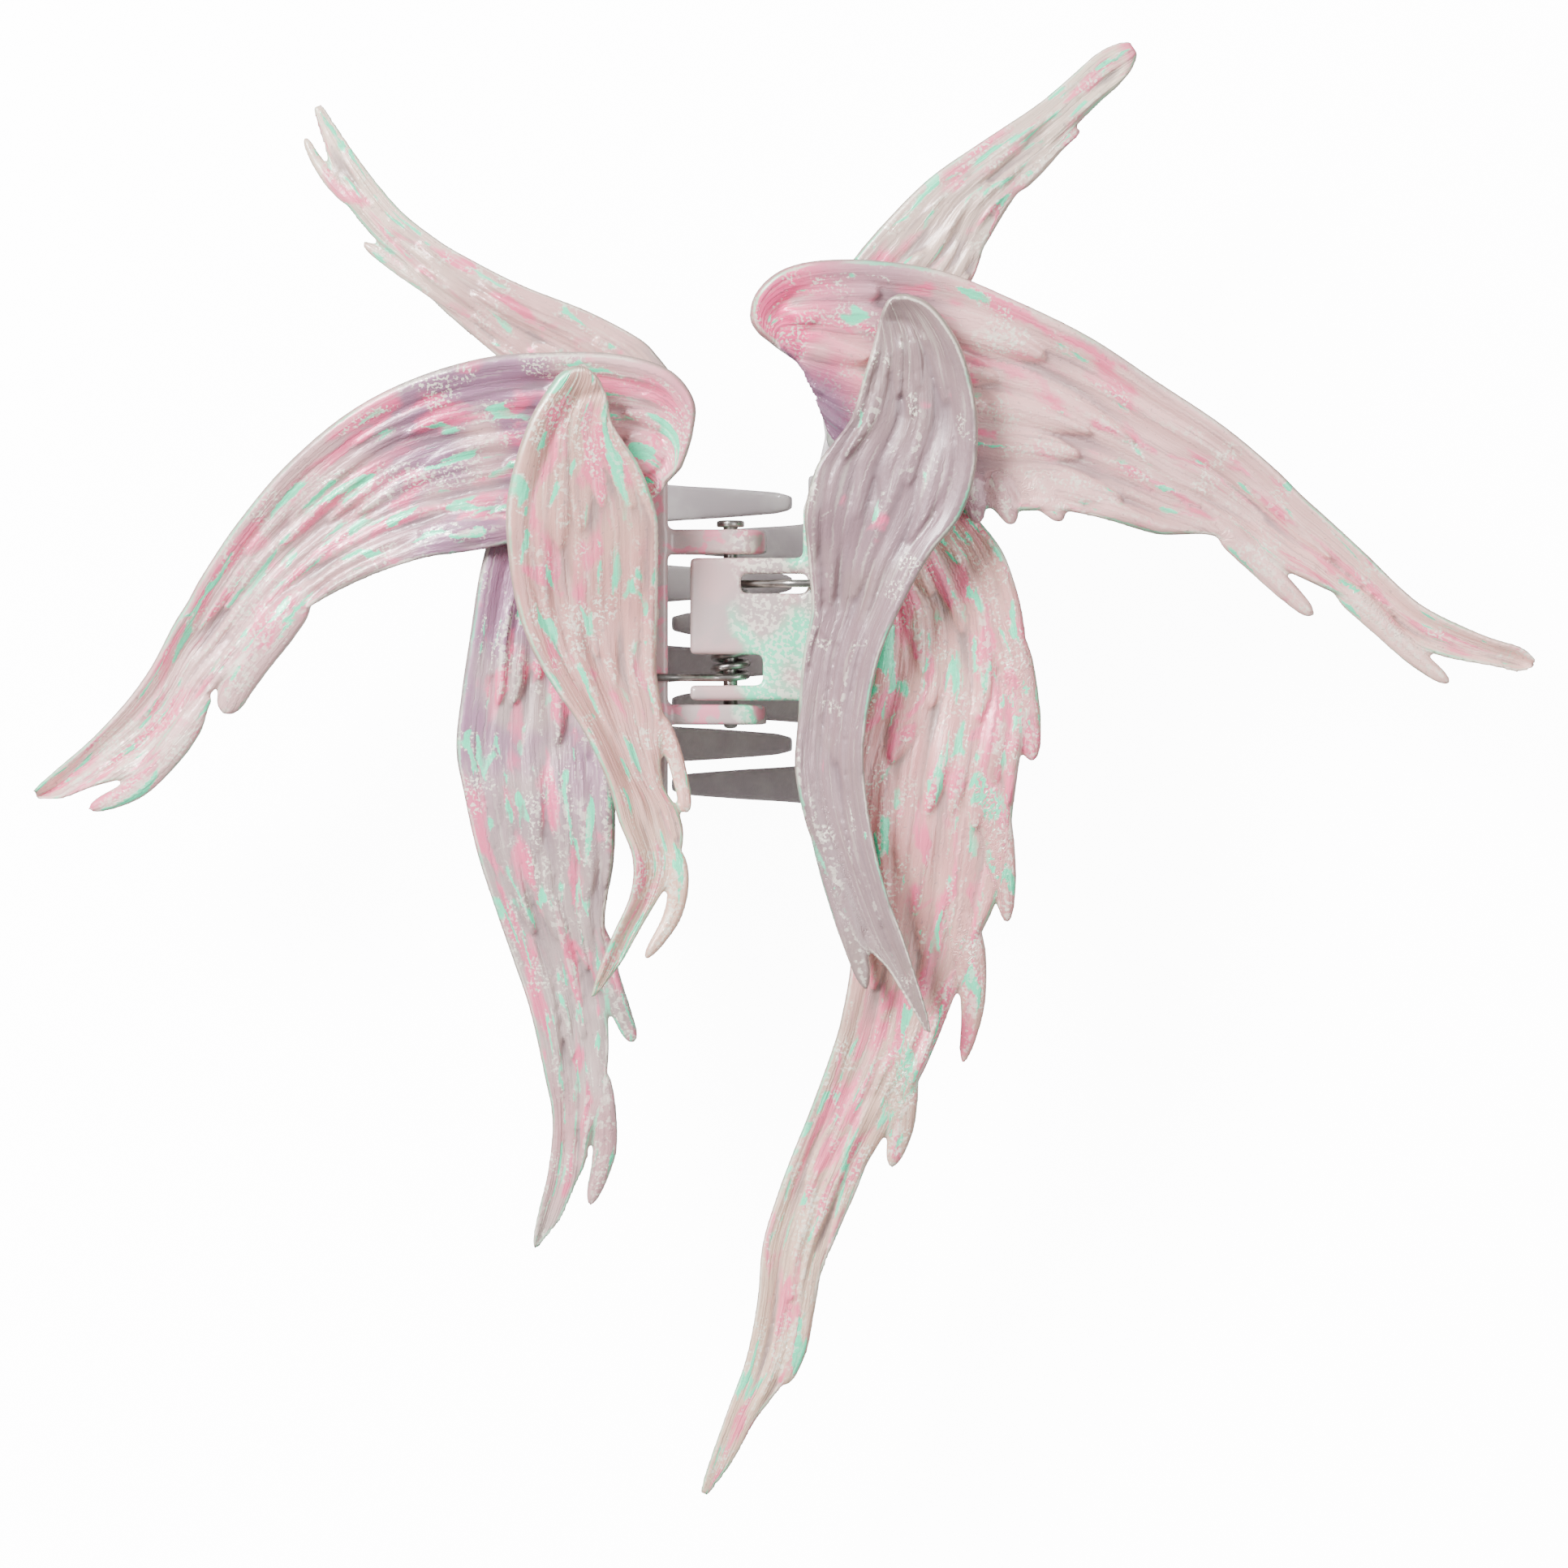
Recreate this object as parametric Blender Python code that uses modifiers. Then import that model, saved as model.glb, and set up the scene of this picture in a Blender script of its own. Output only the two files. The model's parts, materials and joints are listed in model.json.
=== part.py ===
"""Winged hair claw: two toothed jaws on a sprung hinge, each jaw carrying four sculpted wings.

All sizes below are millimetres measured from the middle of the hinge axis. The axis runs along Y.
X is negative on the left jaw and positive on the right jaw, and Z is up, away from the teeth.
"""
import math

import bmesh
import bpy
from mathutils import Vector

MM = 0.001
COLLECTION_NAME = "winged_hair_claw"

# Where the hinge axis sits above the surface that the claw rests on.
HINGE_IN_FRAME = Vector((-5.57, 15.25, 27.0)) * MM

# Jaw shells: one C-shaped section, given by its middle surface from the hinge edge to the belly.
SHELL_THICKNESS = 1.8
PLATE_Z = 3.4
PLATE_TOP_Z = PLATE_Z + SHELL_THICKNESS / 2
PLATE_FLAT_END_X = 14.8
BELLY_Z = -26.1
TOOTH_ROOT_X = 8.2
FLANK_SECTION = [
    (17.2, 2.5), (18.8, 0.2), (19.6, -4.0), (19.7, -9.0), (19.0, -14.0),
    (17.4, -18.6), (15.0, -22.6), (12.6, -25.2), (11.0, BELLY_Z),
]
FLANK_STEPS = 3
BODY_Y = (-19.5, 16.5)
# The plates' edges beside the hinge, as (y, distance from hinge). They run on past the flank to carry wings.
LEFT_PLATE_EDGE = [(-19.5, 6.5), (16.5, 6.5), (26.0, 6.5)]
RIGHT_PLATE_EDGE = [(-19.5, 7.6), (12.0, 7.6), (16.5, 9.2), (19.6, 9.9), (23.0, 9.4), (29.0, 8.6)]

# Teeth: how far each tooth reaches past its root, how high it is there and how wide it is there.
TOOTH_STATIONS = [
    (3.0, BELLY_Z, 3.7), (6.5, -26.0, 3.3), (10.0, -25.7, 2.8), (13.0, -25.3, 2.3), (14.6, -25.0, 1.5),
]
TOOTH_ROOT_WIDTH = 4.2
TOOTH_PITCH = 8.64
LEFT_FIRST_TOOTH_Y = 13.5
RIGHT_FIRST_TOOTH_Y = LEFT_FIRST_TOOTH_Y - TOOTH_PITCH / 2
TEETH_PER_JAW = 4

# Hinge.
PIN_RADIUS = 0.75
PIN_HEAD_RADIUS = 1.45
PIN_HEAD_Y = (10.2, 10.9)
PIN_TAIL_Y = -10.9
HINGE_BORE_RADIUS = 1.05
LUG_RADIUS = 3.8
LUG_TAIL_X = -9.5
LUG_TAIL_BOTTOM_Z = 1.0
UPPER_LUG_Y = (7.3, 9.9)
LOWER_LUG_Y = (-10.5, -8.4)
EAR_RADIUS = 3.0
EAR_TOP_Z = 3.2
UPPER_EAR_Y = (5.4, 6.8)
LOWER_EAR_Y = (-7.9, -6.5)
COVER_X = (-4.2, 9.5)
COVER_Y = (-8.0, 6.9)
COVER_Z = (2.65, 4.15)
NOTCH_X = (-6.0, 3.4)
NOTCH_Y = (-6.4, -3.2)
SLOT_X = (1.1, 8.1)
SLOT_Y = (3.2, 5.2)

# Torsion spring around the pin, with one arm lying on each jaw plate.
WIRE_RADIUS = 0.4
COIL_RADIUS = 1.7
COIL_TURNS = 8
COIL_POINTS_PER_TURN = 10
COIL_Y = (4.2, -5.6)
ARM_FOOT_Z = 5.0
RIGHT_ARM_XZ = [(9.2, ARM_FOOT_Z), (6.2, ARM_FOOT_Z), (3.9, 3.35), (1.6, COIL_RADIUS)]
LEFT_ARM_XZ = [(-1.6, COIL_RADIUS), (-3.75, 3.35), (-5.9, ARM_FOOT_Z), (-8.0, ARM_FOOT_Z)]

# Screws that hold the wings: up through the jaw plate into a boss under the wing.
BOSS_RADIUS = 2.2
BOSS_BOTTOM_Z = PLATE_TOP_Z + 0.3
SCREW_HOLE_RADIUS = 1.1
PILOT_RADIUS = 1.15
SHANK_RADIUS = 0.8
SCREW_HEAD_RADIUS = 1.6
SCREW_HEAD_BOTTOM_Z = 0.9
SCREW_HEAD_TOP_Z = 2.2
SCREW_TIP_GAP = 0.4
ROUND_SEGMENTS = 16

# Wings. Each rib goes from the thick leading edge to the thin trailing edge:
# (leading x, y, z, trailing x, y, z). The trailing points run out to each feather tip and back.
WING_WEB_THICKNESS = 1.2
RIB_WEB_FRACTIONS = (0.4, 0.7)

LEFT_UPPER_RIBS = [
    (-6.4, 25.4, 5.8, -8.6, 21.2, 5.8), (-7.8, 27.2, 5.9, -12.0, 20.8, 5.8),
    (-9.8, 29.2, 6.1, -16.0, 22.0, 5.8), (-15.0, 32.0, 6.2, -20.5, 25.0, 5.8),
    (-22.0, 34.8, 6.2, -24.8, 28.2, 5.8), (-28.5, 38.2, 5.9, -30.6, 32.2, 5.4),
    (-31.5, 40.2, 5.5, -33.6, 35.9, 5.0), (-34.4, 42.6, 5.1, -37.9, 38.6, 4.4),
    (-37.0, 45.6, 4.6, -39.6, 43.0, 4.2), (-39.2, 48.6, 4.2, -42.8, 46.4, 3.6),
    (-40.8, 51.0, 3.7, -42.2, 49.0, 3.4), (-42.9, 54.2, 3.2, -43.6, 53.8, 3.1),
]
LEFT_SIDE_RIBS = [
    (-5.4, 15.6, 9.2, -6.6, 14.4, 8.6), (-4.3, 18.9, 10.3, -7.6, 13.2, 8.3),
    (-4.2, 22.2, 10.9, -9.5, 12.0, 8.2), (-6.7, 25.3, 11.1, -12.5, 10.8, 8.2),
    (-12.0, 26.9, 11.0, -17.0, 9.6, 8.2), (-18.5, 27.1, 10.8, -22.0, 8.4, 8.2),
    (-25.5, 26.6, 10.3, -27.0, 7.4, 8.0), (-33.0, 24.4, 9.5, -31.5, 6.8, 7.5),
    (-39.7, 20.9, 8.4, -36.0, 4.8, 6.8), (-46.0, 15.6, 7.0, -41.0, 2.6, 6.0),
    (-51.0, 9.8, 5.6, -45.6, -0.6, 5.0), (-54.6, 4.6, 4.3, -49.5, -5.0, 3.9),
    (-56.4, 1.6, 3.6, -53.2, -10.0, 2.4), (-57.9, -0.6, 3.1, -54.8, -7.4, 2.9),
    (-60.2, -4.8, 2.1, -57.8, -12.8, 1.8), (-62.4, -7.8, 1.3, -60.6, -17.4, 0.9),
    (-64.6, -10.2, 0.5, -66.0, -19.3, -0.5), (-67.3, -12.8, -0.6, -67.0, -17.1, -0.9),
    (-70.0, -15.0, -1.7, -69.9, -18.2, -1.8), (-73.2, -17.7, -3.0, -72.8, -18.5, -3.0),
]
LEFT_FRONT_RIBS = [
    (-15.7, 26.2, 14.6, -14.0, 26.0, 14.3), (-18.2, 24.2, 14.3, -13.2, 24.2, 13.5),
    (-20.2, 20.4, 13.9, -11.8, 20.4, 12.7), (-21.6, 16.0, 13.4, -8.8, 16.0, 11.7),
    (-22.2, 11.5, 12.9, -7.5, 11.0, 10.6), (-22.0, 6.5, 12.3, -7.4, 5.2, 8.8),
    (-21.3, 1.8, 11.9, -7.5, 0.0, 7.3), (-19.9, -2.6, 11.5, -7.6, -5.0, 6.8),
    (-17.6, -6.8, 11.1, -6.2, -9.5, 6.8), (-14.9, -10.8, 10.7, -4.9, -13.5, 6.9),
    (-12.6, -15.5, 10.3, -3.9, -18.0, 7.1), (-11.0, -20.0, 9.9, -4.6, -21.0, 7.3),
    (-9.6, -24.5, 9.5, -4.4, -24.9, 7.6), (-9.9, -28.3, 9.1, -4.8, -28.6, 7.8),
    (-11.8, -32.5, 8.7, -6.8, -32.4, 7.9), (-13.0, -35.4, 8.4, -8.9, -34.9, 7.9),
    (-14.4, -38.9, 8.1, -13.9, -38.7, 8.1),
]
LEFT_LOWER_RIBS = [
    (-24.4, 8.8, 5.6, -10.8, 9.4, 5.6), (-25.4, 4.6, 5.6, -11.2, 5.2, 5.6),
    (-26.2, -0.5, 5.6, -12.9, 0.6, 5.6), (-27.2, -7.0, 5.5, -12.6, -6.0, 5.6),
    (-27.8, -13.0, 5.4, -12.2, -13.0, 5.6), (-27.0, -18.0, 5.2, -11.9, -20.0, 5.4),
    (-25.7, -24.0, 4.6, -12.1, -25.0, 4.9), (-23.8, -30.0, 3.7, -13.0, -30.5, 4.1),
    (-22.0, -35.4, 2.6, -12.6, -36.0, 3.0), (-20.7, -39.4, 2.2, -10.4, -43.2, 2.0),
    (-19.8, -43.2, 1.5, -12.4, -44.6, 1.6), (-19.0, -47.4, 0.9, -12.0, -49.0, 1.1),
    (-18.4, -51.0, 0.2, -12.4, -54.0, 0.3), (-18.4, -54.2, -0.5, -14.6, -60.6, -1.3),
    (-18.9, -58.0, -1.3, -16.2, -58.8, -1.2), (-19.8, -61.4, -2.1, -17.8, -62.4, -2.1),
    (-20.7, -65.5, -3.0, -20.2, -65.4, -3.0),
]
RIGHT_UPPER_RIBS = [
    (9.0, 27.0, 5.8, 11.5, 22.8, 5.8), (10.0, 31.6, 5.9, 15.0, 24.5, 5.8),
    (13.0, 37.0, 6.1, 20.0, 30.0, 5.8), (16.8, 41.8, 6.2, 24.6, 36.0, 5.8),
    (21.0, 45.6, 6.1, 27.2, 42.0, 5.6), (25.5, 48.4, 5.7, 28.9, 45.4, 5.2),
    (29.5, 51.2, 5.2, 32.4, 48.2, 4.6), (33.3, 54.5, 4.6, 36.2, 52.0, 4.0),
    (37.4, 57.9, 4.0, 39.6, 55.6, 3.5), (40.2, 59.7, 3.6, 42.0, 58.4, 3.3),
    (42.1, 60.8, 3.2, 42.6, 60.2, 3.2),
]
RIGHT_SIDE_RIBS = [
    (4.6, 30.8, 12.0, 9.4, 19.8, 9.0), (4.8, 33.6, 12.7, 12.2, 16.6, 8.8),
    (6.9, 35.4, 12.9, 15.8, 14.4, 8.6), (10.2, 36.4, 12.8, 19.5, 12.6, 8.6),
    (15.5, 36.6, 12.4, 24.0, 11.6, 8.5), (22.5, 35.5, 11.6, 29.2, 9.8, 8.1),
    (30.0, 32.5, 10.6, 34.8, 10.4, 7.6),
    (37.4, 28.9, 9.4, 39.5, 10.6, 7.0), (44.6, 24.2, 8.1, 44.5, 8.8, 6.2),
    (51.0, 20.0, 6.8, 49.5, 8.2, 5.4), (56.2, 15.8, 5.6, 54.0, 5.4, 4.4),
    (59.4, 12.8, 4.7, 60.0, 0.6, 2.8), (62.0, 10.6, 4.0, 61.0, 4.4, 3.5),
    (66.0, 7.0, 2.9, 66.0, 0.6, 2.4), (69.8, 3.4, 1.8, 71.0, -4.2, 1.2),
    (72.4, 1.4, 1.2, 74.4, -6.0, 0.1), (75.6, -0.2, 0.4, 75.4, -3.6, 0.1),
    (79.6, -1.8, -0.7, 79.8, -4.4, -0.9), (84.3, -3.9, -2.4, 83.8, -4.5, -2.4),
]
RIGHT_FRONT_RIBS = [
    (19.0, 33.4, 14.0, 17.4, 33.2, 13.8), (21.2, 31.8, 13.9, 15.4, 31.4, 13.2),
    (23.0, 29.2, 13.7, 14.5, 28.0, 12.6), (24.2, 25.8, 13.5, 13.5, 24.5, 12.0),
    (24.8, 21.0, 13.2, 12.4, 21.0, 11.4), (24.6, 15.6, 12.8, 9.0, 16.4, 10.6),
    (23.1, 11.0, 12.4, 7.7, 11.5, 10.0), (19.9, 6.8, 12.0, 8.0, 7.0, 8.6),
    (16.9, 1.2, 11.4, 8.4, 1.5, 7.3), (14.8, -4.0, 10.8, 7.5, -3.5, 6.8),
    (13.6, -10.5, 10.3, 7.0, -10.0, 6.7), (13.4, -15.3, 9.9, 6.7, -15.3, 6.7),
    (14.3, -22.0, 9.5, 8.0, -21.4, 6.8), (15.9, -28.2, 9.0, 10.9, -27.6, 6.9),
    (17.9, -33.4, 8.4, 12.0, -33.0, 7.0), (19.5, -37.8, 7.8, 14.9, -37.2, 7.0),
    (20.8, -42.6, 7.0, 20.2, -42.4, 6.9),
]
RIGHT_LOWER_RIBS = [
    (11.2, 10.2, 5.6, 25.0, 10.6, 5.6), (13.6, 5.2, 5.6, 28.6, 7.2, 5.6),
    (15.8, 0.6, 5.6, 30.4, 1.6, 5.5), (15.4, -6.0, 5.6, 31.6, -6.4, 5.3),
    (14.0, -11.6, 5.6, 32.4, -14.2, 5.0), (13.2, -15.5, 5.5, 30.0, -16.0, 4.9),
    (12.8, -21.0, 5.3, 29.3, -22.4, 4.4), (13.2, -27.0, 4.5, 28.9, -31.0, 3.5),
    (13.4, -30.5, 3.8, 27.8, -32.6, 3.0), (13.1, -36.0, 3.4, 26.3, -39.0, 2.4),
    (12.2, -41.0, 3.0, 23.9, -45.4, 1.6), (11.2, -44.5, 2.6, 21.6, -46.4, 1.7),
    (8.8, -51.0, 1.8, 18.8, -52.6, 1.2), (7.0, -55.4, 1.2, 16.7, -56.8, 0.6),
    (5.4, -59.6, 0.8, 13.2, -59.4, 0.4), (3.8, -65.0, 0.2, 10.2, -66.4, -0.2),
    (3.2, -71.0, -0.4, 8.2, -72.0, -0.8), (2.0, -77.0, -1.2, 6.0, -78.8, -1.4),
    (0.2, -82.0, -1.8, 2.6, -83.6, -2.0), (-1.6, -87.0, -2.6, 0.2, -88.0, -2.7),
    (-3.0, -91.2, -3.4, -2.4, -91.5, -3.4),
]

# name: (ribs, leading edge radius, boss x, boss y, boss top z)
LEFT_WINGS = {
    "left_upper_wing": (LEFT_UPPER_RIBS, 1.0, -9.5, 22.7, 7.2),
    "left_side_wing": (LEFT_SIDE_RIBS, 1.7, -9.2, 17.6, 9.4),
    "left_front_wing": (LEFT_FRONT_RIBS, 1.6, -9.6, 1.0, 7.9),
    "left_lower_wing": (LEFT_LOWER_RIBS, 1.0, -12.4, 7.4, 7.2),
}
RIGHT_WINGS = {
    "right_upper_wing": (RIGHT_UPPER_RIBS, 1.0, 11.3, 25.7, 7.2),
    "right_side_wing": (RIGHT_SIDE_RIBS, 1.7, 12.2, 19.4, 9.2),
    "right_front_wing": (RIGHT_FRONT_RIBS, 1.6, 11.6, 0.0, 8.4),
    "right_lower_wing": (RIGHT_LOWER_RIBS, 1.0, 12.4, 7.4, 7.2),
}


def clear_scene():
    """Remove every object that a new Blender scene starts with."""
    for old_object in list(bpy.data.objects):
        bpy.data.objects.remove(old_object, do_unlink=True)


def make_collection(name):
    """Add a collection under the scene and return it."""
    collection = bpy.data.collections.new(name)
    bpy.context.scene.collection.children.link(collection)
    return collection


def make_material(name, colour, roughness, metallic):
    """Return a Principled material."""
    material = bpy.data.materials.new(name)
    material.use_nodes = True
    shader = material.node_tree.nodes["Principled BSDF"]
    shader.inputs["Base Color"].default_value = (*colour, 1.0)
    shader.inputs["Roughness"].default_value = roughness
    shader.inputs["Metallic"].default_value = metallic
    return material


def make_half(name):
    """Add the empty on the hinge axis that carries one half of the claw."""
    empty = bpy.data.objects.new(name, None)
    empty.location = HINGE_IN_FRAME
    empty.empty_display_size = 5 * MM
    bpy.context.scene.collection.objects.link(empty)
    return empty


def add_part(name, mesh, material, half, collection):
    """Add a named part whose origin lies on the hinge axis."""
    mesh.materials.clear()
    mesh.materials.append(material)
    part = bpy.data.objects.new(name, mesh)
    part.parent = half
    collection.objects.link(part)
    return part


def add_tool(name, mesh, half, cutters):
    """Add a shape that is only used by a Boolean modifier."""
    tool = bpy.data.objects.new(name, mesh)
    tool.parent = half
    tool.hide_render = True
    tool.display_type = "WIRE"
    cutters.objects.link(tool)
    return tool


def apply_boolean(part, tool, operation):
    """Join a tool to a part, or cut it out of the part."""
    modifier = part.modifiers.new(operation.lower() + "_" + tool.name, "BOOLEAN")
    modifier.operation = operation
    modifier.object = tool
    modifier.solver = "EXACT"


def finish_mesh(builder, name):
    """Turn a bmesh in millimetres into a mesh in metres with its faces pointing out."""
    bmesh.ops.scale(builder, vec=(MM, MM, MM), verts=builder.verts)
    bmesh.ops.recalc_face_normals(builder, faces=builder.faces)
    mesh = bpy.data.meshes.new(name)
    builder.to_mesh(mesh)
    builder.free()
    return mesh


def box_mesh(name, x_range, y_range, z_range):
    """A box between the given limits."""
    builder = bmesh.new()
    bmesh.ops.create_cube(builder, size=1.0)
    limits = (x_range, y_range, z_range)
    bmesh.ops.scale(builder, vec=[high - low for low, high in limits], verts=builder.verts)
    bmesh.ops.translate(builder, vec=[(low + high) / 2 for low, high in limits], verts=builder.verts)
    return finish_mesh(builder, name)


def upright_cylinder_mesh(name, radius, x, y, z_range):
    """A cylinder that stands along Z."""
    builder = bmesh.new()
    bmesh.ops.create_cone(builder, cap_ends=True, segments=ROUND_SEGMENTS, radius1=radius, radius2=radius,
                          depth=z_range[1] - z_range[0])
    bmesh.ops.translate(builder, vec=(x, y, (z_range[0] + z_range[1]) / 2), verts=builder.verts)
    return finish_mesh(builder, name)


def flat_section_mesh(name, outline, y_range):
    """Extrude an outline of (x, z) points along the hinge axis."""
    curve = bpy.data.curves.new(name + "_outline", "CURVE")
    curve.dimensions = "2D"
    curve.fill_mode = "BOTH"
    curve.extrude = (y_range[1] - y_range[0]) / 2 * MM
    spline = curve.splines.new("POLY")
    spline.points.add(len(outline) - 1)
    for point, (x, z) in zip(spline.points, outline):
        point.co = (x * MM, z * MM, 0.0, 1.0)
    spline.use_cyclic_u = True
    holder = bpy.data.objects.new(name + "_holder", curve)
    bpy.context.scene.collection.objects.link(holder)
    evaluated = holder.evaluated_get(bpy.context.evaluated_depsgraph_get())
    mesh = bpy.data.meshes.new_from_object(evaluated)
    builder = bmesh.new()
    builder.from_mesh(mesh)
    bmesh.ops.remove_doubles(builder, verts=builder.verts, dist=0.01 * MM)
    middle_y = (y_range[0] + y_range[1]) / 2 * MM
    for vertex in builder.verts:
        x, z, y = vertex.co
        vertex.co = (x, middle_y + y, z)
    bmesh.ops.recalc_face_normals(builder, faces=builder.faces)
    builder.to_mesh(mesh)
    builder.free()
    bpy.data.objects.remove(holder, do_unlink=True)
    mesh.name = name
    return mesh


def arc_points(radius, start_degrees, end_degrees, steps):
    """Points along an arc around the hinge axis, as (x, z)."""
    points = []
    for step in range(steps + 1):
        angle = math.radians(start_degrees + (end_degrees - start_degrees) * step / steps)
        points.append((radius * math.cos(angle), radius * math.sin(angle)))
    return points


def turned_part(name, profile, material, half, collection):
    """A round part: a profile of (radius, height) points, top to bottom, swept around Z."""
    mesh = bpy.data.meshes.new(name)
    vertices = [(radius * MM, 0.0, height * MM) for radius, height in profile]
    edges = [(index, index + 1) for index in range(len(profile) - 1)]
    mesh.from_pydata(vertices, edges, [])
    part = add_part(name, mesh, material, half, collection)
    screw = part.modifiers.new("turned", "SCREW")
    screw.steps = ROUND_SEGMENTS
    screw.render_steps = ROUND_SEGMENTS
    screw.use_merge_vertices = True
    screw.merge_threshold = 0.00005
    screw.use_smooth_shade = True
    return part


def tooth_centres(first_y):
    """The Y of every tooth on one jaw."""
    return [first_y - TOOTH_PITCH * index for index in range(TEETH_PER_JAW)]


def smooth_path(corners, steps):
    """Points on a smooth curve through the corners, with the given number of steps between two corners."""
    corners = [Vector(corner) for corner in corners]
    padded = [2 * corners[0] - corners[1]] + corners + [2 * corners[-1] - corners[-2]]
    points = []
    for before, start, end, after in zip(padded, padded[1:], padded[2:], padded[3:]):
        for step in range(steps):
            t = step / steps
            points.append(0.5 * (2 * start + (end - before) * t
                                 + (2 * before - 5 * start + 4 * end - after) * t**2
                                 + (3 * start - before - 3 * end + after) * t**3))
    return points + [corners[-1]]


def edge_at(edge, y):
    """How far a plate's edge lies from the hinge at the given y."""
    for (low_y, low_x), (high_y, high_x) in zip(edge, edge[1:]):
        if low_y <= y <= high_y:
            return low_x + (high_x - low_x) * (y - low_y) / (high_y - low_y)
    raise ValueError("y lies outside the plate")


def jaw_shell_mesh(name, side, edge, centres):
    """The open middle surface of a jaw: plate, flank, belly and tapering teeth."""
    builder = bmesh.new()
    plate = [(None, PLATE_Z), (12.0, PLATE_Z), (PLATE_FLAT_END_X, PLATE_Z)]
    section = plate[:-1] + smooth_path([plate[-1]] + FLANK_SECTION, FLANK_STEPS) + [(TOOTH_ROOT_X, BELLY_Z)]
    columns = {BODY_Y[1]} | {y for y, _ in edge}
    for centre in centres:
        columns.update((centre - TOOTH_ROOT_WIDTH / 2, centre + TOOTH_ROOT_WIDTH / 2))
    columns = sorted(columns)
    last_body_column = columns.index(BODY_Y[1])
    grid = {}
    for row, (x, z) in enumerate(section):
        for column, y in enumerate(columns):
            if row < len(plate) or column <= last_body_column:
                grid[row, column] = builder.verts.new((side * (edge_at(edge, y) if row == 0 else x), y, z))
    for row in range(len(section) - 1):
        for column in range(len(columns) - 1):
            corners = [(row, column), (row + 1, column), (row + 1, column + 1), (row, column + 1)]
            if all(corner in grid for corner in corners):
                builder.faces.new([grid[corner] for corner in corners])
    root_row = len(section) - 1
    for centre in centres:
        low = grid[root_row, columns.index(centre - TOOTH_ROOT_WIDTH / 2)]
        high = grid[root_row, columns.index(centre + TOOTH_ROOT_WIDTH / 2)]
        for reach, z, width in TOOTH_STATIONS:
            x = side * (TOOTH_ROOT_X - reach)
            next_low = builder.verts.new((x, centre - width / 2, z))
            next_high = builder.verts.new((x, centre + width / 2, z))
            builder.faces.new((low, next_low, next_high, high))
            low, high = next_low, next_high
    return finish_mesh(builder, name)


def add_jaw_shell(name, side, edge, first_tooth_y, material, half, collection):
    """A jaw with its wall thickness."""
    mesh = jaw_shell_mesh(name, side, edge, tooth_centres(first_tooth_y))
    jaw = add_part(name, mesh, material, half, collection)
    wall = jaw.modifiers.new("wall", "SOLIDIFY")
    wall.thickness = SHELL_THICKNESS * MM
    wall.offset = 0.0
    wall.use_even_offset = True
    return jaw


def bore_hinge(jaw, half, cutters):
    """Cut the bore for the pin through a jaw's lugs or ears."""
    outline = arc_points(HINGE_BORE_RADIUS, 0, 360 - 360 / ROUND_SEGMENTS, ROUND_SEGMENTS - 1)
    bore = add_tool(jaw.name + "_bore", flat_section_mesh("bore", outline, (-12.0, 12.0)), half, cutters)
    apply_boolean(jaw, bore, "DIFFERENCE")


def drill_screw_holes(jaw, wings, half, cutters):
    """Drill one hole through the jaw plate for each wing's screw."""
    for wing_name, (_, _, boss_x, boss_y, _) in wings.items():
        mesh = upright_cylinder_mesh("screw_hole", SCREW_HOLE_RADIUS, boss_x, boss_y, (0.5, 6.0))
        hole = add_tool(wing_name + "_screw_hole", mesh, half, cutters)
        apply_boolean(jaw, hole, "DIFFERENCE")


def add_left_jaw(material, half, collection, cutters):
    """The left jaw with the two outer hinge lugs."""
    jaw = add_jaw_shell("left_jaw", -1, LEFT_PLATE_EDGE, LEFT_FIRST_TOOTH_Y, material, half, collection)
    outline = [(LUG_TAIL_X, LUG_RADIUS)] + arc_points(LUG_RADIUS, 90, -90, 12)
    outline += [(LUG_TAIL_X, LUG_TAIL_BOTTOM_Z)]
    for label, y_range in (("upper", UPPER_LUG_Y), ("lower", LOWER_LUG_Y)):
        lug = add_tool("left_jaw_" + label + "_lug", flat_section_mesh(label, outline, y_range), half, cutters)
        apply_boolean(jaw, lug, "UNION")
    bore_hinge(jaw, half, cutters)
    drill_screw_holes(jaw, LEFT_WINGS, half, cutters)
    return jaw


def add_right_jaw(material, half, collection, cutters):
    """The right jaw with the hinge cover, its spring notch and slot, and the two inner ears."""
    jaw = add_jaw_shell("right_jaw", 1, RIGHT_PLATE_EDGE, RIGHT_FIRST_TOOTH_Y, material, half, collection)
    cover = add_tool("right_jaw_cover", box_mesh("cover", COVER_X, COVER_Y, COVER_Z), half, cutters)
    apply_boolean(jaw, cover, "UNION")
    outline = [(EAR_RADIUS, EAR_TOP_Z)] + arc_points(EAR_RADIUS, 0, -180, 12) + [(-EAR_RADIUS, EAR_TOP_Z)]
    for label, y_range in (("upper", UPPER_EAR_Y), ("lower", LOWER_EAR_Y)):
        ear = add_tool("right_jaw_" + label + "_ear", flat_section_mesh(label, outline, y_range), half, cutters)
        apply_boolean(jaw, ear, "UNION")
    for label, x_range, y_range in (("notch", NOTCH_X, NOTCH_Y), ("slot", SLOT_X, SLOT_Y)):
        window = add_tool("right_jaw_" + label, box_mesh(label, x_range, y_range, (2.0, 6.0)), half, cutters)
        apply_boolean(jaw, window, "DIFFERENCE")
    bore_hinge(jaw, half, cutters)
    drill_screw_holes(jaw, RIGHT_WINGS, half, cutters)
    return jaw


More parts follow.
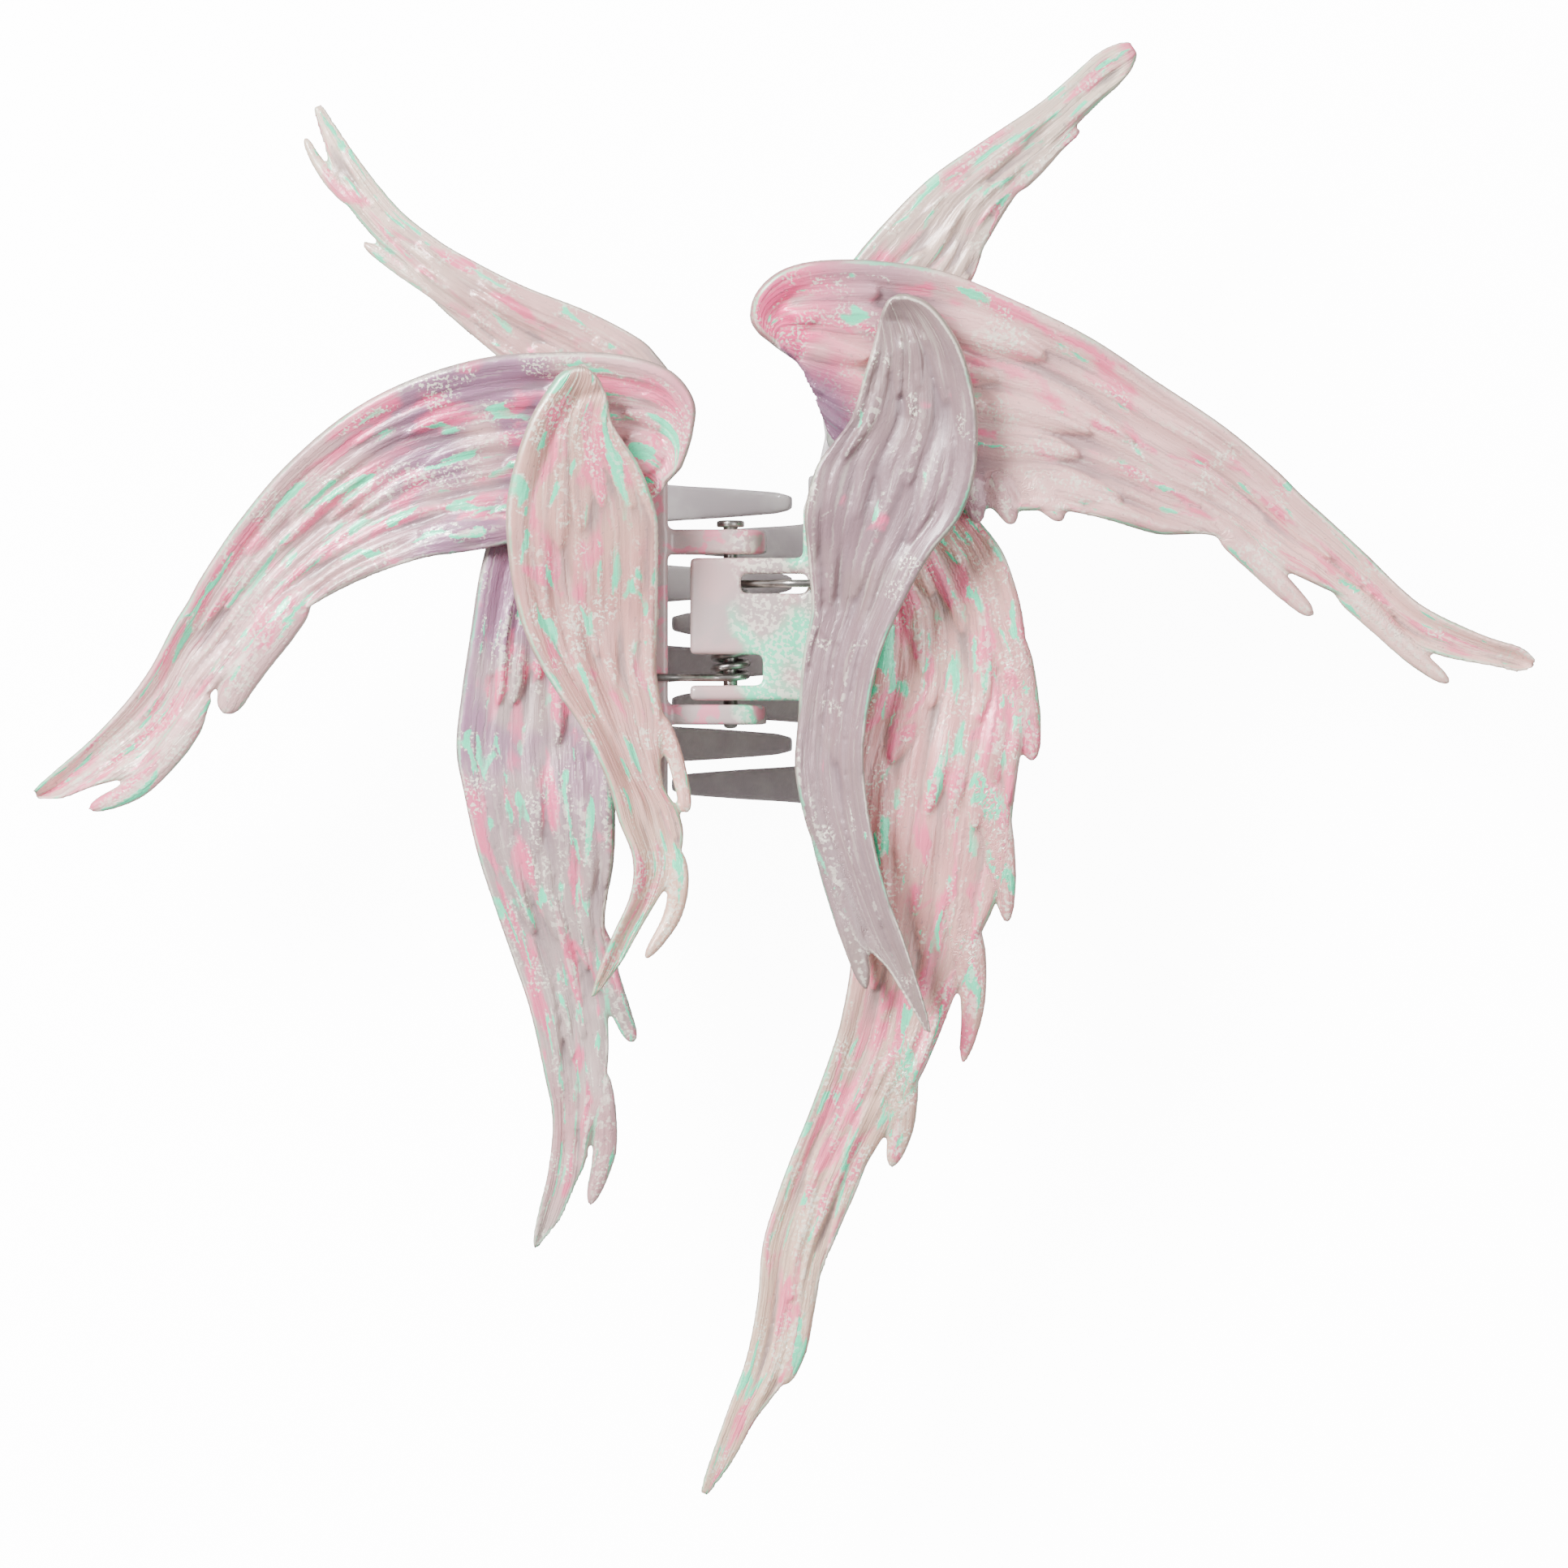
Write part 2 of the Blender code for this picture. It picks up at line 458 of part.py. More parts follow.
def add_pin(material, half, collection):
    """The hinge pin with a flat head at one end and a domed tail."""
    head_start, head_end = PIN_HEAD_Y
    profile = [
        (0.0, head_end), (PIN_HEAD_RADIUS - 0.2, head_end), (PIN_HEAD_RADIUS, head_end - 0.2),
        (PIN_HEAD_RADIUS, head_start), (PIN_RADIUS, head_start), (PIN_RADIUS, PIN_TAIL_Y + 0.35),
        (PIN_RADIUS * 0.7, PIN_TAIL_Y + 0.1), (0.0, PIN_TAIL_Y),
    ]
    pin = turned_part("hinge_pin", profile, material, half, collection)
    pin.rotation_euler = (-math.pi / 2, 0.0, 0.0)


def spring_route():
    """Points of the spring wire: right arm, coil round the pin, left arm."""
    points = [(x, COIL_Y[0], z) for x, z in RIGHT_ARM_XZ]
    steps = COIL_TURNS * COIL_POINTS_PER_TURN
    for step in range(steps + 1):
        angle = math.pi / 2 + 2 * math.pi * step / COIL_POINTS_PER_TURN
        y = COIL_Y[0] + (COIL_Y[1] - COIL_Y[0]) * step / steps
        points.append((COIL_RADIUS * math.cos(angle), y, COIL_RADIUS * math.sin(angle)))
    points += [(x, COIL_Y[1], z) for x, z in LEFT_ARM_XZ]
    return points


def add_spring(material, half, collection):
    """The torsion spring, one wire from foot to foot."""
    curve = bpy.data.curves.new("torsion_spring", "CURVE")
    curve.dimensions = "3D"
    curve.bevel_depth = WIRE_RADIUS * MM
    curve.bevel_resolution = 2
    curve.use_fill_caps = True
    points = spring_route()
    spline = curve.splines.new("POLY")
    spline.points.add(len(points) - 1)
    for target, (x, y, z) in zip(spline.points, points):
        target.co = (x * MM, y * MM, z * MM, 1.0)
    curve.materials.append(material)
    spring = bpy.data.objects.new("torsion_spring", curve)
    spring.parent = half
    collection.objects.link(spring)


def rib_section(rib, edge_radius):
    """Points around one rib, from the nose over the top to the trailing edge and back underneath."""
    leading = Vector(rib[:3])
    trailing = Vector(rib[3:])
    chord = (trailing - leading).length
    radius = min(edge_radius, chord / 3)
    half_web = min(WING_WEB_THICKNESS / 2, radius)
    stations = [(-0.65 * radius, 0.75 * radius), (0.2 * radius, radius), (1.4 * radius, 0.75 * radius)]
    stations += [(max(2.4 * radius, chord * fraction), half_web) for fraction in RIB_WEB_FRACTIONS]
    stations += [(chord, half_web * 0.8)]
    along = (trailing - leading).normalized()
    top = [leading + along * distance + Vector((0, 0, height)) for distance, height in stations]
    bottom = [leading + along * distance - Vector((0, 0, height)) for distance, height in reversed(stations)]
    return [leading - along * radius] + top + bottom


def wing_mesh(name, ribs, edge_radius):
    """Loft a closed wing through its ribs; the leading edge thins out towards the tip."""
    builder = bmesh.new()
    rings = []
    for index, rib in enumerate(ribs):
        thinning = 1.0 - 0.6 * index / (len(ribs) - 1)
        section = rib_section(rib, edge_radius * thinning)
        rings.append([builder.verts.new(point) for point in section])
    count = len(rings[0])
    for ring, next_ring in zip(rings, rings[1:]):
        for corner in range(count):
            following = (corner + 1) % count
            builder.faces.new((ring[corner], ring[following], next_ring[following], next_ring[corner]))
    builder.faces.new(rings[0])
    builder.faces.new(rings[-1])
    bmesh.ops.triangulate(builder, faces=builder.faces)
    return finish_mesh(builder, name)


def add_wing(name, wing, material, half, collection, cutters):
    """A wing with the boss and pilot hole that take its screw."""
    ribs, edge_radius, boss_x, boss_y, boss_top_z = wing
    part = add_part(name, wing_mesh(name, ribs, edge_radius), material, half, collection)
    boss_mesh = upright_cylinder_mesh("boss", BOSS_RADIUS, boss_x, boss_y, (BOSS_BOTTOM_Z, boss_top_z))
    apply_boolean(part, add_tool(name + "_boss", boss_mesh, half, cutters), "UNION")
    pilot_range = (BOSS_BOTTOM_Z - 1.0, boss_top_z - 0.8)
    pilot_mesh = upright_cylinder_mesh("pilot", PILOT_RADIUS, boss_x, boss_y, pilot_range)
    apply_boolean(part, add_tool(name + "_pilot", pilot_mesh, half, cutters), "DIFFERENCE")


def add_wing_screw(name, wing, material, half, collection):
    """The pan-head screw that comes up through the jaw plate into the wing's boss."""
    _, _, boss_x, boss_y, boss_top_z = wing
    tip_z = boss_top_z - 0.8 - SCREW_TIP_GAP
    profile = [
        (0.0, tip_z), (SHANK_RADIUS, tip_z - 0.5), (SHANK_RADIUS, SCREW_HEAD_TOP_Z),
        (SCREW_HEAD_RADIUS, SCREW_HEAD_TOP_Z), (SCREW_HEAD_RADIUS, SCREW_HEAD_BOTTOM_Z + 0.5),
        (SCREW_HEAD_RADIUS * 0.7, SCREW_HEAD_BOTTOM_Z + 0.1), (0.0, SCREW_HEAD_BOTTOM_Z),
    ]
    screw = turned_part(name + "_screw", profile, material, half, collection)
    screw.location = Vector((boss_x, boss_y, 0.0)) * MM


def build():
    """Make the whole claw."""
    clear_scene()
    collection = make_collection(COLLECTION_NAME)
    cutters = make_collection(COLLECTION_NAME + "_cutters")
    pearl = make_material("pearl_plastic", (0.60, 0.51, 0.50), 0.30, 0.15)
    mauve = make_material("mauve_plastic", (0.40, 0.29, 0.34), 0.35, 0.05)
    steel = make_material("spring_steel", (0.30, 0.29, 0.28), 0.30, 1.0)
    screw_steel = make_material("screw_steel", (0.55, 0.54, 0.52), 0.35, 1.0)
    left_half = make_half("left_half")
    right_half = make_half("right_half")
    add_left_jaw(mauve, left_half, collection, cutters)
    add_right_jaw(mauve, right_half, collection, cutters)
    add_pin(steel, left_half, collection)
    add_spring(steel, left_half, collection)
    for wings, half in ((LEFT_WINGS, left_half), (RIGHT_WINGS, right_half)):
        for name, wing in wings.items():
            add_wing(name, wing, pearl, half, collection, cutters)
            add_wing_screw(name, wing, screw_steel, half, collection)


build()
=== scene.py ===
"""Looks of the winged hair claw: sculpted pearlescent wings, moulded jaws, hinge and spring."""
import json
import math

import bmesh
import bpy
import numpy as np
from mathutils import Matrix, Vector, kdtree


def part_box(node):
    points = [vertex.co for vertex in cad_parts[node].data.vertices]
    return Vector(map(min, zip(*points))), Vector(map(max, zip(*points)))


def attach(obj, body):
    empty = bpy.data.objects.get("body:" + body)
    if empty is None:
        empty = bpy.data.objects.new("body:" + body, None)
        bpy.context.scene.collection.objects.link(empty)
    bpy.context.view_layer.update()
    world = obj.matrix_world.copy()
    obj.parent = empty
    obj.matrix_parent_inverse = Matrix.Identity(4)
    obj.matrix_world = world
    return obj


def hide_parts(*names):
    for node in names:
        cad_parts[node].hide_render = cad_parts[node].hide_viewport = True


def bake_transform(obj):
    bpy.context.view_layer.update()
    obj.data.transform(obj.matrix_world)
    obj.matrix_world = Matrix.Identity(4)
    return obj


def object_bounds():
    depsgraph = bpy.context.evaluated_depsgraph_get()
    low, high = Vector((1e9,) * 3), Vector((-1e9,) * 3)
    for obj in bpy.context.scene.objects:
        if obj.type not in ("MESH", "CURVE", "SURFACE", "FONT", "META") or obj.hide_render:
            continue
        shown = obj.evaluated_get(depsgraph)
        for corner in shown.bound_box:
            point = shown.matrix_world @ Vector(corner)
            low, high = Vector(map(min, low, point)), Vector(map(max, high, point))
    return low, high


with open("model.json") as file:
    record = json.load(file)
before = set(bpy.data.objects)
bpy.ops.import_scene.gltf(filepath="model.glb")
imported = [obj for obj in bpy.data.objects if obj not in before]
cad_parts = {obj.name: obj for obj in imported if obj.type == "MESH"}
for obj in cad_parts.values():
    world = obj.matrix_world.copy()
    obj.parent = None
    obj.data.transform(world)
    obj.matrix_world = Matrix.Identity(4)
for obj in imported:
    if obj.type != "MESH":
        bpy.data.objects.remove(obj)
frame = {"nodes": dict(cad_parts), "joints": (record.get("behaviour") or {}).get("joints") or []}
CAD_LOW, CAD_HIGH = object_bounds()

MM = 0.001
LEFT_BODY = "left_half"
RIGHT_BODY = "right_half"
HINGE = np.array(frame["joints"][0]["pos_m"])

# Wing shapes. Sizes are millimetres from the middle of the hinge axis, as in the CAD part.
# A rib is (leading x, y, z, trailing x, y, z). Ribs run from a wing's root to its tip.
LEFT_UPPER_RIBS = [
    (-6.4, 25.4, 5.8, -8.6, 21.2, 5.8), (-7.8, 27.2, 5.9, -12.0, 20.8, 5.8),
    (-9.8, 29.2, 6.1, -16.0, 22.0, 5.8), (-15.0, 32.0, 6.2, -20.5, 25.0, 5.8),
    (-22.0, 34.8, 6.2, -24.8, 28.2, 5.8), (-28.5, 38.2, 5.9, -30.4, 33.0, 5.4),
    (-31.5, 40.2, 5.5, -33.9, 37.4, 5.0), (-34.4, 42.6, 5.1, -37.0, 40.0, 4.5),
    (-37.0, 45.6, 4.6, -39.6, 43.0, 4.2), (-39.2, 48.6, 4.2, -41.4, 46.0, 3.8),
    (-40.8, 51.0, 3.7, -42.2, 49.0, 3.4), (-42.9, 54.2, 3.2, -43.6, 53.8, 3.1),
]
LEFT_SIDE_RIBS = [
    (-5.4, 15.6, 9.2, -6.6, 14.4, 8.6), (-4.3, 18.9, 10.3, -7.6, 13.2, 8.3),
    (-4.2, 22.2, 10.9, -9.5, 12.0, 8.2), (-6.7, 25.3, 11.1, -12.5, 10.8, 8.2),
    (-12.0, 26.9, 11.0, -17.0, 9.6, 8.2), (-18.5, 27.1, 10.8, -22.0, 8.4, 8.2),
    (-25.5, 26.6, 10.3, -27.0, 7.4, 8.0), (-33.0, 24.4, 9.5, -31.5, 6.8, 7.5),
    (-39.7, 20.9, 8.4, -36.0, 5.4, 6.8), (-46.0, 15.6, 7.0, -41.0, 3.2, 6.0),
    (-51.0, 9.8, 5.6, -46.2, 0.2, 5.0), (-54.6, 4.6, 4.3, -50.0, -3.0, 3.9),
    (-56.4, 1.6, 3.6, -52.8, -5.6, 3.2), (-57.9, -0.6, 3.1, -55.0, -8.4, 2.6),
    (-60.2, -4.8, 2.1, -57.6, -11.8, 1.8), (-62.4, -7.8, 1.3, -60.6, -14.8, 1.0),
    (-64.6, -10.2, 0.5, -63.8, -16.2, 0.1), (-67.3, -12.8, -0.6, -67.0, -17.1, -0.9),
    (-70.0, -15.0, -1.7, -69.9, -18.2, -1.8), (-73.2, -17.7, -3.0, -72.8, -18.5, -3.0),
]
LEFT_FRONT_RIBS = [
    (-15.9, 26.5, 14.4, -15.2, 26.5, 14.4), (-16.5, 25.9, 14.3, -14.2, 25.9, 14.1),
    (-17.1, 24.9, 14.2, -13.3, 24.9, 13.8), (-18.3, 23.2, 14.1, -12.6, 23.2, 13.3),
    (-19.8, 20.5, 13.9, -12.0, 20.4, 12.7), (-21.3, 16.2, 13.4, -9.2, 16.0, 11.7),
    (-22.2, 11.5, 12.9, -7.5, 11.0, 10.6), (-22.0, 6.5, 12.3, -7.4, 5.2, 8.8),
    (-21.3, 1.8, 11.9, -7.5, 0.0, 7.3), (-19.9, -2.6, 11.5, -7.6, -5.0, 6.8),
    (-17.6, -6.8, 11.1, -6.9, -9.5, 6.8), (-14.9, -10.8, 10.7, -7.2, -13.2, 6.9),
    (-12.9, -14.8, 10.4, -6.9, -16.8, 7.0), (-11.8, -17.6, 10.1, -5.3, -19.6, 7.2),
    (-11.0, -20.6, 9.9, -4.8, -22.0, 7.3),
    (-9.6, -24.5, 9.5, -5.4, -25.4, 7.6), (-9.9, -28.3, 9.1, -7.5, -28.8, 7.8),
    (-11.8, -32.5, 8.7, -9.6, -32.4, 7.9), (-13.0, -35.4, 8.4, -11.3, -35.4, 7.9),
    (-14.4, -38.9, 8.1, -13.9, -38.7, 8.1),
]
LEFT_LOWER_RIBS = [
    (-24.4, 8.8, 5.6, -10.8, 9.4, 5.6), (-25.4, 4.6, 5.6, -11.2, 5.2, 5.6),
    (-26.2, -0.5, 5.6, -12.9, 0.6, 5.6), (-27.2, -7.0, 5.5, -12.6, -6.0, 5.6),
    (-27.8, -13.0, 5.4, -12.2, -13.0, 5.6), (-27.0, -18.0, 5.2, -11.9, -20.0, 5.4),
    (-25.7, -24.0, 4.6, -12.1, -25.0, 4.9), (-23.8, -30.0, 3.7, -13.0, -30.5, 4.1),
    (-22.0, -35.4, 2.6, -12.8, -36.0, 3.0), (-20.7, -39.4, 2.2, -12.7, -41.0, 2.3),
    (-19.8, -43.2, 1.5, -12.7, -45.0, 1.6), (-19.0, -47.4, 0.9, -13.2, -49.6, 1.1),
    (-18.4, -51.0, 0.2, -14.6, -53.8, 0.3), (-18.4, -54.2, -0.5, -15.3, -56.8, -0.6),
    (-18.9, -58.0, -1.3, -16.2, -58.8, -1.2), (-19.8, -61.4, -2.1, -17.8, -62.4, -2.1),
    (-20.7, -65.5, -3.0, -20.2, -65.4, -3.0),
]
RIGHT_UPPER_RIBS = [
    (9.0, 27.0, 5.8, 11.5, 22.8, 5.8), (10.0, 31.6, 5.9, 15.0, 24.5, 5.8),
    (13.0, 37.0, 6.1, 20.6, 29.6, 5.8), (16.8, 41.6, 6.2, 25.2, 35.6, 5.8),
    (21.2, 46.0, 6.1, 27.0, 40.8, 5.6), (26.7, 49.9, 5.7, 29.6, 45.2, 5.2),
    (31.8, 53.4, 5.2, 33.2, 48.8, 4.6), (34.9, 56.0, 4.7, 36.4, 52.2, 4.1),
    (38.2, 59.0, 4.1, 39.8, 55.4, 3.6), (40.3, 60.2, 3.7, 41.8, 57.6, 3.4),
    (41.8, 60.6, 3.3, 42.6, 59.4, 3.2),
]
RIGHT_SIDE_RIBS = [
    (3.4, 29.5, 11.0, 4.6, 28.6, 10.7), (2.8, 30.9, 11.8, 7.6, 26.4, 9.9),
    (3.0, 32.8, 12.4, 9.3, 23.4, 9.3), (4.3, 34.6, 12.8, 10.3, 19.4, 9.0),
    (6.5, 35.9, 13.0, 13.6, 16.2, 8.8),
    (10.0, 36.6, 12.9, 19.5, 12.8, 8.6),
    (15.5, 36.6, 12.4, 24.0, 12.2, 8.5), (22.5, 35.5, 11.6, 29.2, 11.6, 8.1),
    (30.0, 32.5, 10.6, 34.8, 11.6, 7.6),
    (37.4, 28.9, 9.4, 39.5, 10.6, 7.0), (44.6, 24.2, 8.1, 44.5, 9.2, 6.2),
    (51.0, 20.0, 6.8, 49.5, 9.2, 5.4), (56.2, 15.8, 5.6, 54.0, 7.8, 4.6),
    (59.4, 12.8, 4.7, 57.8, 5.6, 4.0), (62.0, 10.6, 4.0, 61.2, 4.0, 3.4),
    (66.0, 7.0, 2.9, 65.0, 2.2, 2.5), (69.8, 3.4, 1.8, 68.8, -0.6, 1.4),
    (72.4, 1.4, 1.2, 71.9, -2.5, 0.8), (75.6, -0.2, 0.4, 75.4, -3.6, 0.1),
    (79.6, -1.8, -0.7, 79.8, -4.4, -0.9), (82.7, -2.7, -1.8, 82.6, -5.0, -1.9),
    (84.5, -3.9, -2.4, 84.3, -4.6, -2.4),
]
RIGHT_FRONT_RIBS = [
    (18.2, 33.9, 14.0, 17.3, 33.9, 14.0), (19.1, 33.3, 14.0, 16.3, 33.3, 13.8),
    (20.3, 32.3, 13.9, 15.7, 32.2, 13.5), (21.6, 30.7, 13.8, 15.2, 30.5, 13.1),
    (22.9, 28.5, 13.7, 14.6, 28.2, 12.7), (24.0, 25.4, 13.5, 13.7, 25.2, 12.1),
    (24.8, 21.0, 13.2, 12.4, 21.0, 11.4), (24.6, 15.6, 12.8, 9.0, 16.4, 10.6),
    (23.1, 11.0, 12.4, 7.7, 11.5, 10.0), (19.9, 6.8, 12.0, 8.0, 7.0, 8.6),
    (16.9, 1.2, 11.4, 8.4, 1.5, 7.3), (14.8, -4.0, 10.8, 7.5, -3.5, 6.8),
    (13.6, -10.5, 10.3, 7.0, -10.0, 6.7), (13.4, -15.3, 9.9, 6.7, -15.3, 6.7),
    (14.3, -22.0, 9.5, 8.0, -21.4, 6.8), (15.9, -28.2, 9.0, 10.9, -27.6, 6.9),
    (17.4, -32.2, 8.6, 12.8, -32.2, 7.1), (18.7, -36.0, 8.1, 16.2, -35.8, 7.3),
    (19.8, -39.4, 7.6, 18.3, -39.2, 7.2), (20.8, -42.6, 7.0, 20.2, -42.4, 6.9),
]
RIGHT_LOWER_RIBS = [
    (11.2, 11.0, 5.6, 24.6, 12.4, 5.6), (13.4, 6.0, 5.6, 28.4, 7.6, 5.6),
    (15.8, 0.6, 5.6, 30.4, 1.6, 5.5), (15.4, -6.0, 5.6, 31.2, -6.4, 5.3),
    (14.0, -11.6, 5.6, 30.4, -12.7, 5.1), (13.2, -15.5, 5.5, 29.8, -17.2, 4.9),
    (12.8, -21.0, 5.3, 29.0, -23.4, 4.4), (13.2, -27.0, 4.5, 27.5, -29.6, 3.6),
    (13.4, -30.5, 3.8, 25.6, -33.6, 3.0), (13.1, -36.0, 3.4, 23.6, -38.6, 2.5),
    (12.2, -41.0, 3.0, 21.8, -43.2, 1.9), (11.2, -44.5, 2.6, 20.0, -47.2, 1.6),
    (8.8, -51.0, 1.8, 16.8, -52.4, 1.2), (7.0, -55.4, 1.2, 14.4, -56.4, 0.7),
    (5.4, -59.6, 0.8, 13.2, -59.4, 0.4), (3.8, -65.0, 0.2, 10.2, -66.4, -0.2),
    (3.2, -71.0, -0.4, 8.2, -72.0, -0.8), (2.0, -77.0, -1.2, 6.0, -78.8, -1.4),
    (0.2, -82.0, -1.8, 2.6, -83.6, -2.0), (-1.6, -87.0, -2.6, 0.2, -88.0, -2.7),
    (-3.0, -91.2, -3.4, -2.4, -91.5, -3.4),
]

# edge: radius of the rolled leading edge. camber: how far the middle sinks below a straight rib.
# strands: how many long ridges lie side by side. ridge: their height. leaf: the strands' length at
# the root and at the tip. boss: (x, y, top z) of the screw boss underneath. feathers: loose tips as
# (x, y, width) points. base: the paint. pink, mint, glitter: how much of each, the pink and mint partly
# painted sheen and the glitter partly painted glints. lavender_shade, flush: a (middle, reach, amount)
# zone along the span, of mauve painted shade and of hot pink. undercut_shade: how dark the painted
# shade makes the skin where it turns down behind the root (0 unless given).
WINGS = {
    "left_upper_wing": {
        "body": LEFT_BODY, "seed": 11, "ribs": LEFT_UPPER_RIBS, "boss": (-9.5, 22.7, 7.2),
        "edge": 0.7, "camber": -0.3, "strands": 6, "ridge": 1.30, "leaf": (9.0, 22.0),
        "feathers": [
            [(-26.4, 31.8, 2.1), (-30.6, 34.6, 2.0), (-34.6, 37.2, 1.7), (-38.4, 39.8, 1.1)],
            [(-38.6, 43.2, 1.8), (-41.4, 46.0, 1.7), (-43.2, 48.4, 1.3), (-44.5, 50.9, 0.8)],
        ],
        "base": (0.74, 0.50, 0.43), "pink": 0.66, "mint": 0.50, "glitter": 0.6,
        "lavender_shade": (0.1, 0.15, 0.3), "flush": (0.3, 0.2, 0.2),
    },
    "left_side_wing": {
        "body": LEFT_BODY, "seed": 12, "ribs": LEFT_SIDE_RIBS, "boss": (-9.2, 17.6, 9.4),
        "edge": 1.15, "camber": 1.6, "strands": 10, "ridge": 1.10, "leaf": (15.0, 38.0),
        "feathers": [
            [(-43.6, 4.0, 3.4), (-47.2, -0.6, 4.0), (-50.6, -5.0, 3.8), (-53.0, -9.4, 2.8)],
            [(-54.6, -7.6, 2.6), (-58.0, -12.6, 3.1), (-62.2, -17.0, 2.6), (-67.4, -19.4, 1.5)],
        ],
        "base": (0.74, 0.43, 0.43), "pink": 0.88, "mint": 0.74, "glitter": 1.0,
        "lavender_shade": (0.31, 0.15, 1.0), "flush": (0.1, 0.12, 0.6),
    },
    "left_front_wing": {
        "body": LEFT_BODY, "seed": 13, "ribs": LEFT_FRONT_RIBS, "boss": (-9.6, 1.0, 7.9),
        "edge": 1.2, "camber": 0.5, "strands": 7, "ridge": 0.60, "leaf": (20.0, 34.0),
        "feathers": [
            [(-8.0, -8.6, 2.0), (-6.2, -12.6, 1.9), (-5.1, -16.4, 1.7), (-4.5, -19.8, 1.4)],
            [(-6.2, -22.6, 2.4), (-5.4, -26.6, 2.4), (-6.1, -30.6, 2.0), (-8.9, -35.0, 1.1)],
        ],
        "base": (0.72, 0.40, 0.32), "pink": 0.80, "mint": 0.62, "glitter": 0.9,
        "lavender_shade": (0.9, 0.1, 0.1), "flush": (0.5, 0.3, 0.2),
    },
    "left_lower_wing": {
        "body": LEFT_BODY, "seed": 14, "ribs": LEFT_LOWER_RIBS, "boss": (-12.4, 7.4, 7.2),
        "edge": 0.9, "camber": 0.6, "strands": 7, "ridge": 1.15, "leaf": (18.0, 34.0),
        "feathers": [
            [(-13.8, -31.0, 2.4), (-12.9, -36.0, 2.5), (-11.6, -40.0, 2.3), (-10.1, -43.8, 1.6)],
            [(-14.2, -45.5, 2.4), (-13.3, -50.0, 2.6), (-13.2, -55.2, 2.6), (-14.8, -61.0, 1.4)],
        ],
        "base": (0.49, 0.36, 0.35), "pink": 0.70, "mint": 0.62, "glitter": 0.7,
        "lavender_shade": (0.14, 0.26, 1.0), "flush": (0.8, 0.2, 0.3),
    },
    "right_upper_wing": {
        "body": RIGHT_BODY, "seed": 15, "ribs": RIGHT_UPPER_RIBS, "boss": (11.3, 25.7, 7.2),
        "edge": 0.8, "camber": -0.2, "strands": 7, "ridge": 1.05, "leaf": (12.0, 26.0),
        "feathers": [
            [(24.0, 37.0, 2.0), (26.2, 40.6, 2.0), (28.6, 44.2, 1.6), (31.2, 47.2, 1.0)],
            [(29.0, 44.6, 1.8), (32.0, 47.6, 1.8), (34.4, 50.0, 1.4), (36.6, 51.6, 0.8)],
        ],
        "base": (0.70, 0.51, 0.43), "pink": 0.66, "mint": 0.66, "glitter": 0.7,
        "lavender_shade": (0.1, 0.2, 0.5), "flush": (1.0, 0.14, 1.0),
    },
    "right_side_wing": {
        "body": RIGHT_BODY, "seed": 16, "ribs": RIGHT_SIDE_RIBS, "boss": (12.2, 19.4, 9.2),
        "edge": 1.1, "camber": 1.2, "strands": 7, "ridge": 1.35, "leaf": (17.0, 40.0),
        "feathers": [
            [(24.4, 15.6, 3.4), (25.2, 13.0, 3.0), (25.8, 10.3, 1.2)],
            [(27.2, 15.4, 3.6), (28.4, 12.8, 3.2), (29.4, 10.2, 1.2)],
            [(31.0, 15.2, 3.6), (32.8, 12.9, 3.0), (34.6, 10.6, 1.2)],
            [(50.4, 10.6, 2.8), (54.0, 7.4, 2.9), (57.6, 3.9, 2.4), (60.9, 0.8, 1.5)],
            [(62.6, 4.6, 2.7), (67.0, 1.0, 2.8), (71.6, -3.3, 2.2), (75.4, -6.2, 1.3)],
        ],
        "base": (0.92, 0.51, 0.48), "pink": 0.66, "mint": 0.36, "glitter": 0.75,
        "lavender_shade": (0.26, 0.10, 0.6), "flush": (0.05, 0.24, 1.9), "undercut_shade": 0.95,
    },
    "right_front_wing": {
        "body": RIGHT_BODY, "seed": 17, "ribs": RIGHT_FRONT_RIBS, "boss": (11.6, 0.0, 8.4),
        "edge": 1.05, "camber": 0.9, "strands": 7, "ridge": 1.00, "leaf": (18.0, 32.0),
        "feathers": [
            [(8.8, -16.0, 2.6), (9.6, -21.0, 3.0), (11.0, -26.4, 3.2), (12.4, -31.2, 3.0),
             (13.4, -35.0, 2.2), (14.2, -38.2, 1.2)],
        ],
        "base": (0.29, 0.19, 0.188), "pink": 0.0, "mint": 0.05, "glitter": 0.3,
        "lavender_shade": (0.6, 0.5, 0.25), "flush": (0.5, 0.1, 0.0),
    },
    "right_lower_wing": {
        "body": RIGHT_BODY, "seed": 18, "ribs": RIGHT_LOWER_RIBS, "boss": (12.4, 7.4, 7.2),
        "edge": 0.9, "camber": 0.2, "strands": 7, "ridge": 1.05, "leaf": (18.0, 34.0),
        "feathers": [
            [(28.0, 1.0, 3.4), (29.7, -4.0, 3.8), (30.8, -9.4, 3.2), (31.5, -14.4, 1.8)],
            [(25.8, -14.0, 3.2), (27.6, -20.6, 3.6), (28.5, -26.4, 2.8), (28.9, -31.3, 1.2)],
            [(23.0, -27.0, 3.2), (24.9, -34.0, 3.6), (25.3, -40.0, 2.6), (24.3, -46.0, 1.1)],
            [(16.6, -41.0, 3.4), (17.8, -47.0, 3.8), (17.8, -52.4, 3.0), (16.8, -56.9, 1.4)],
            [(8.6, -66.0, 2.6), (7.6, -71.0, 2.8), (6.8, -75.8, 2.6), (5.4, -79.8, 1.8)],
        ],
        "base": (0.70, 0.43, 0.34), "pink": 0.92, "mint": 0.68, "glitter": 1.0,
        "lavender_shade": (0.0, 0.1, 0.0), "flush": (0.25, 0.3, 0.35),
    },
}
WEB_THICKNESS = 1.2
VALLEY_LIMIT = 0.7
UNDERSIDE_SHARE = 0.2
EDGE_TAPER = 0.6
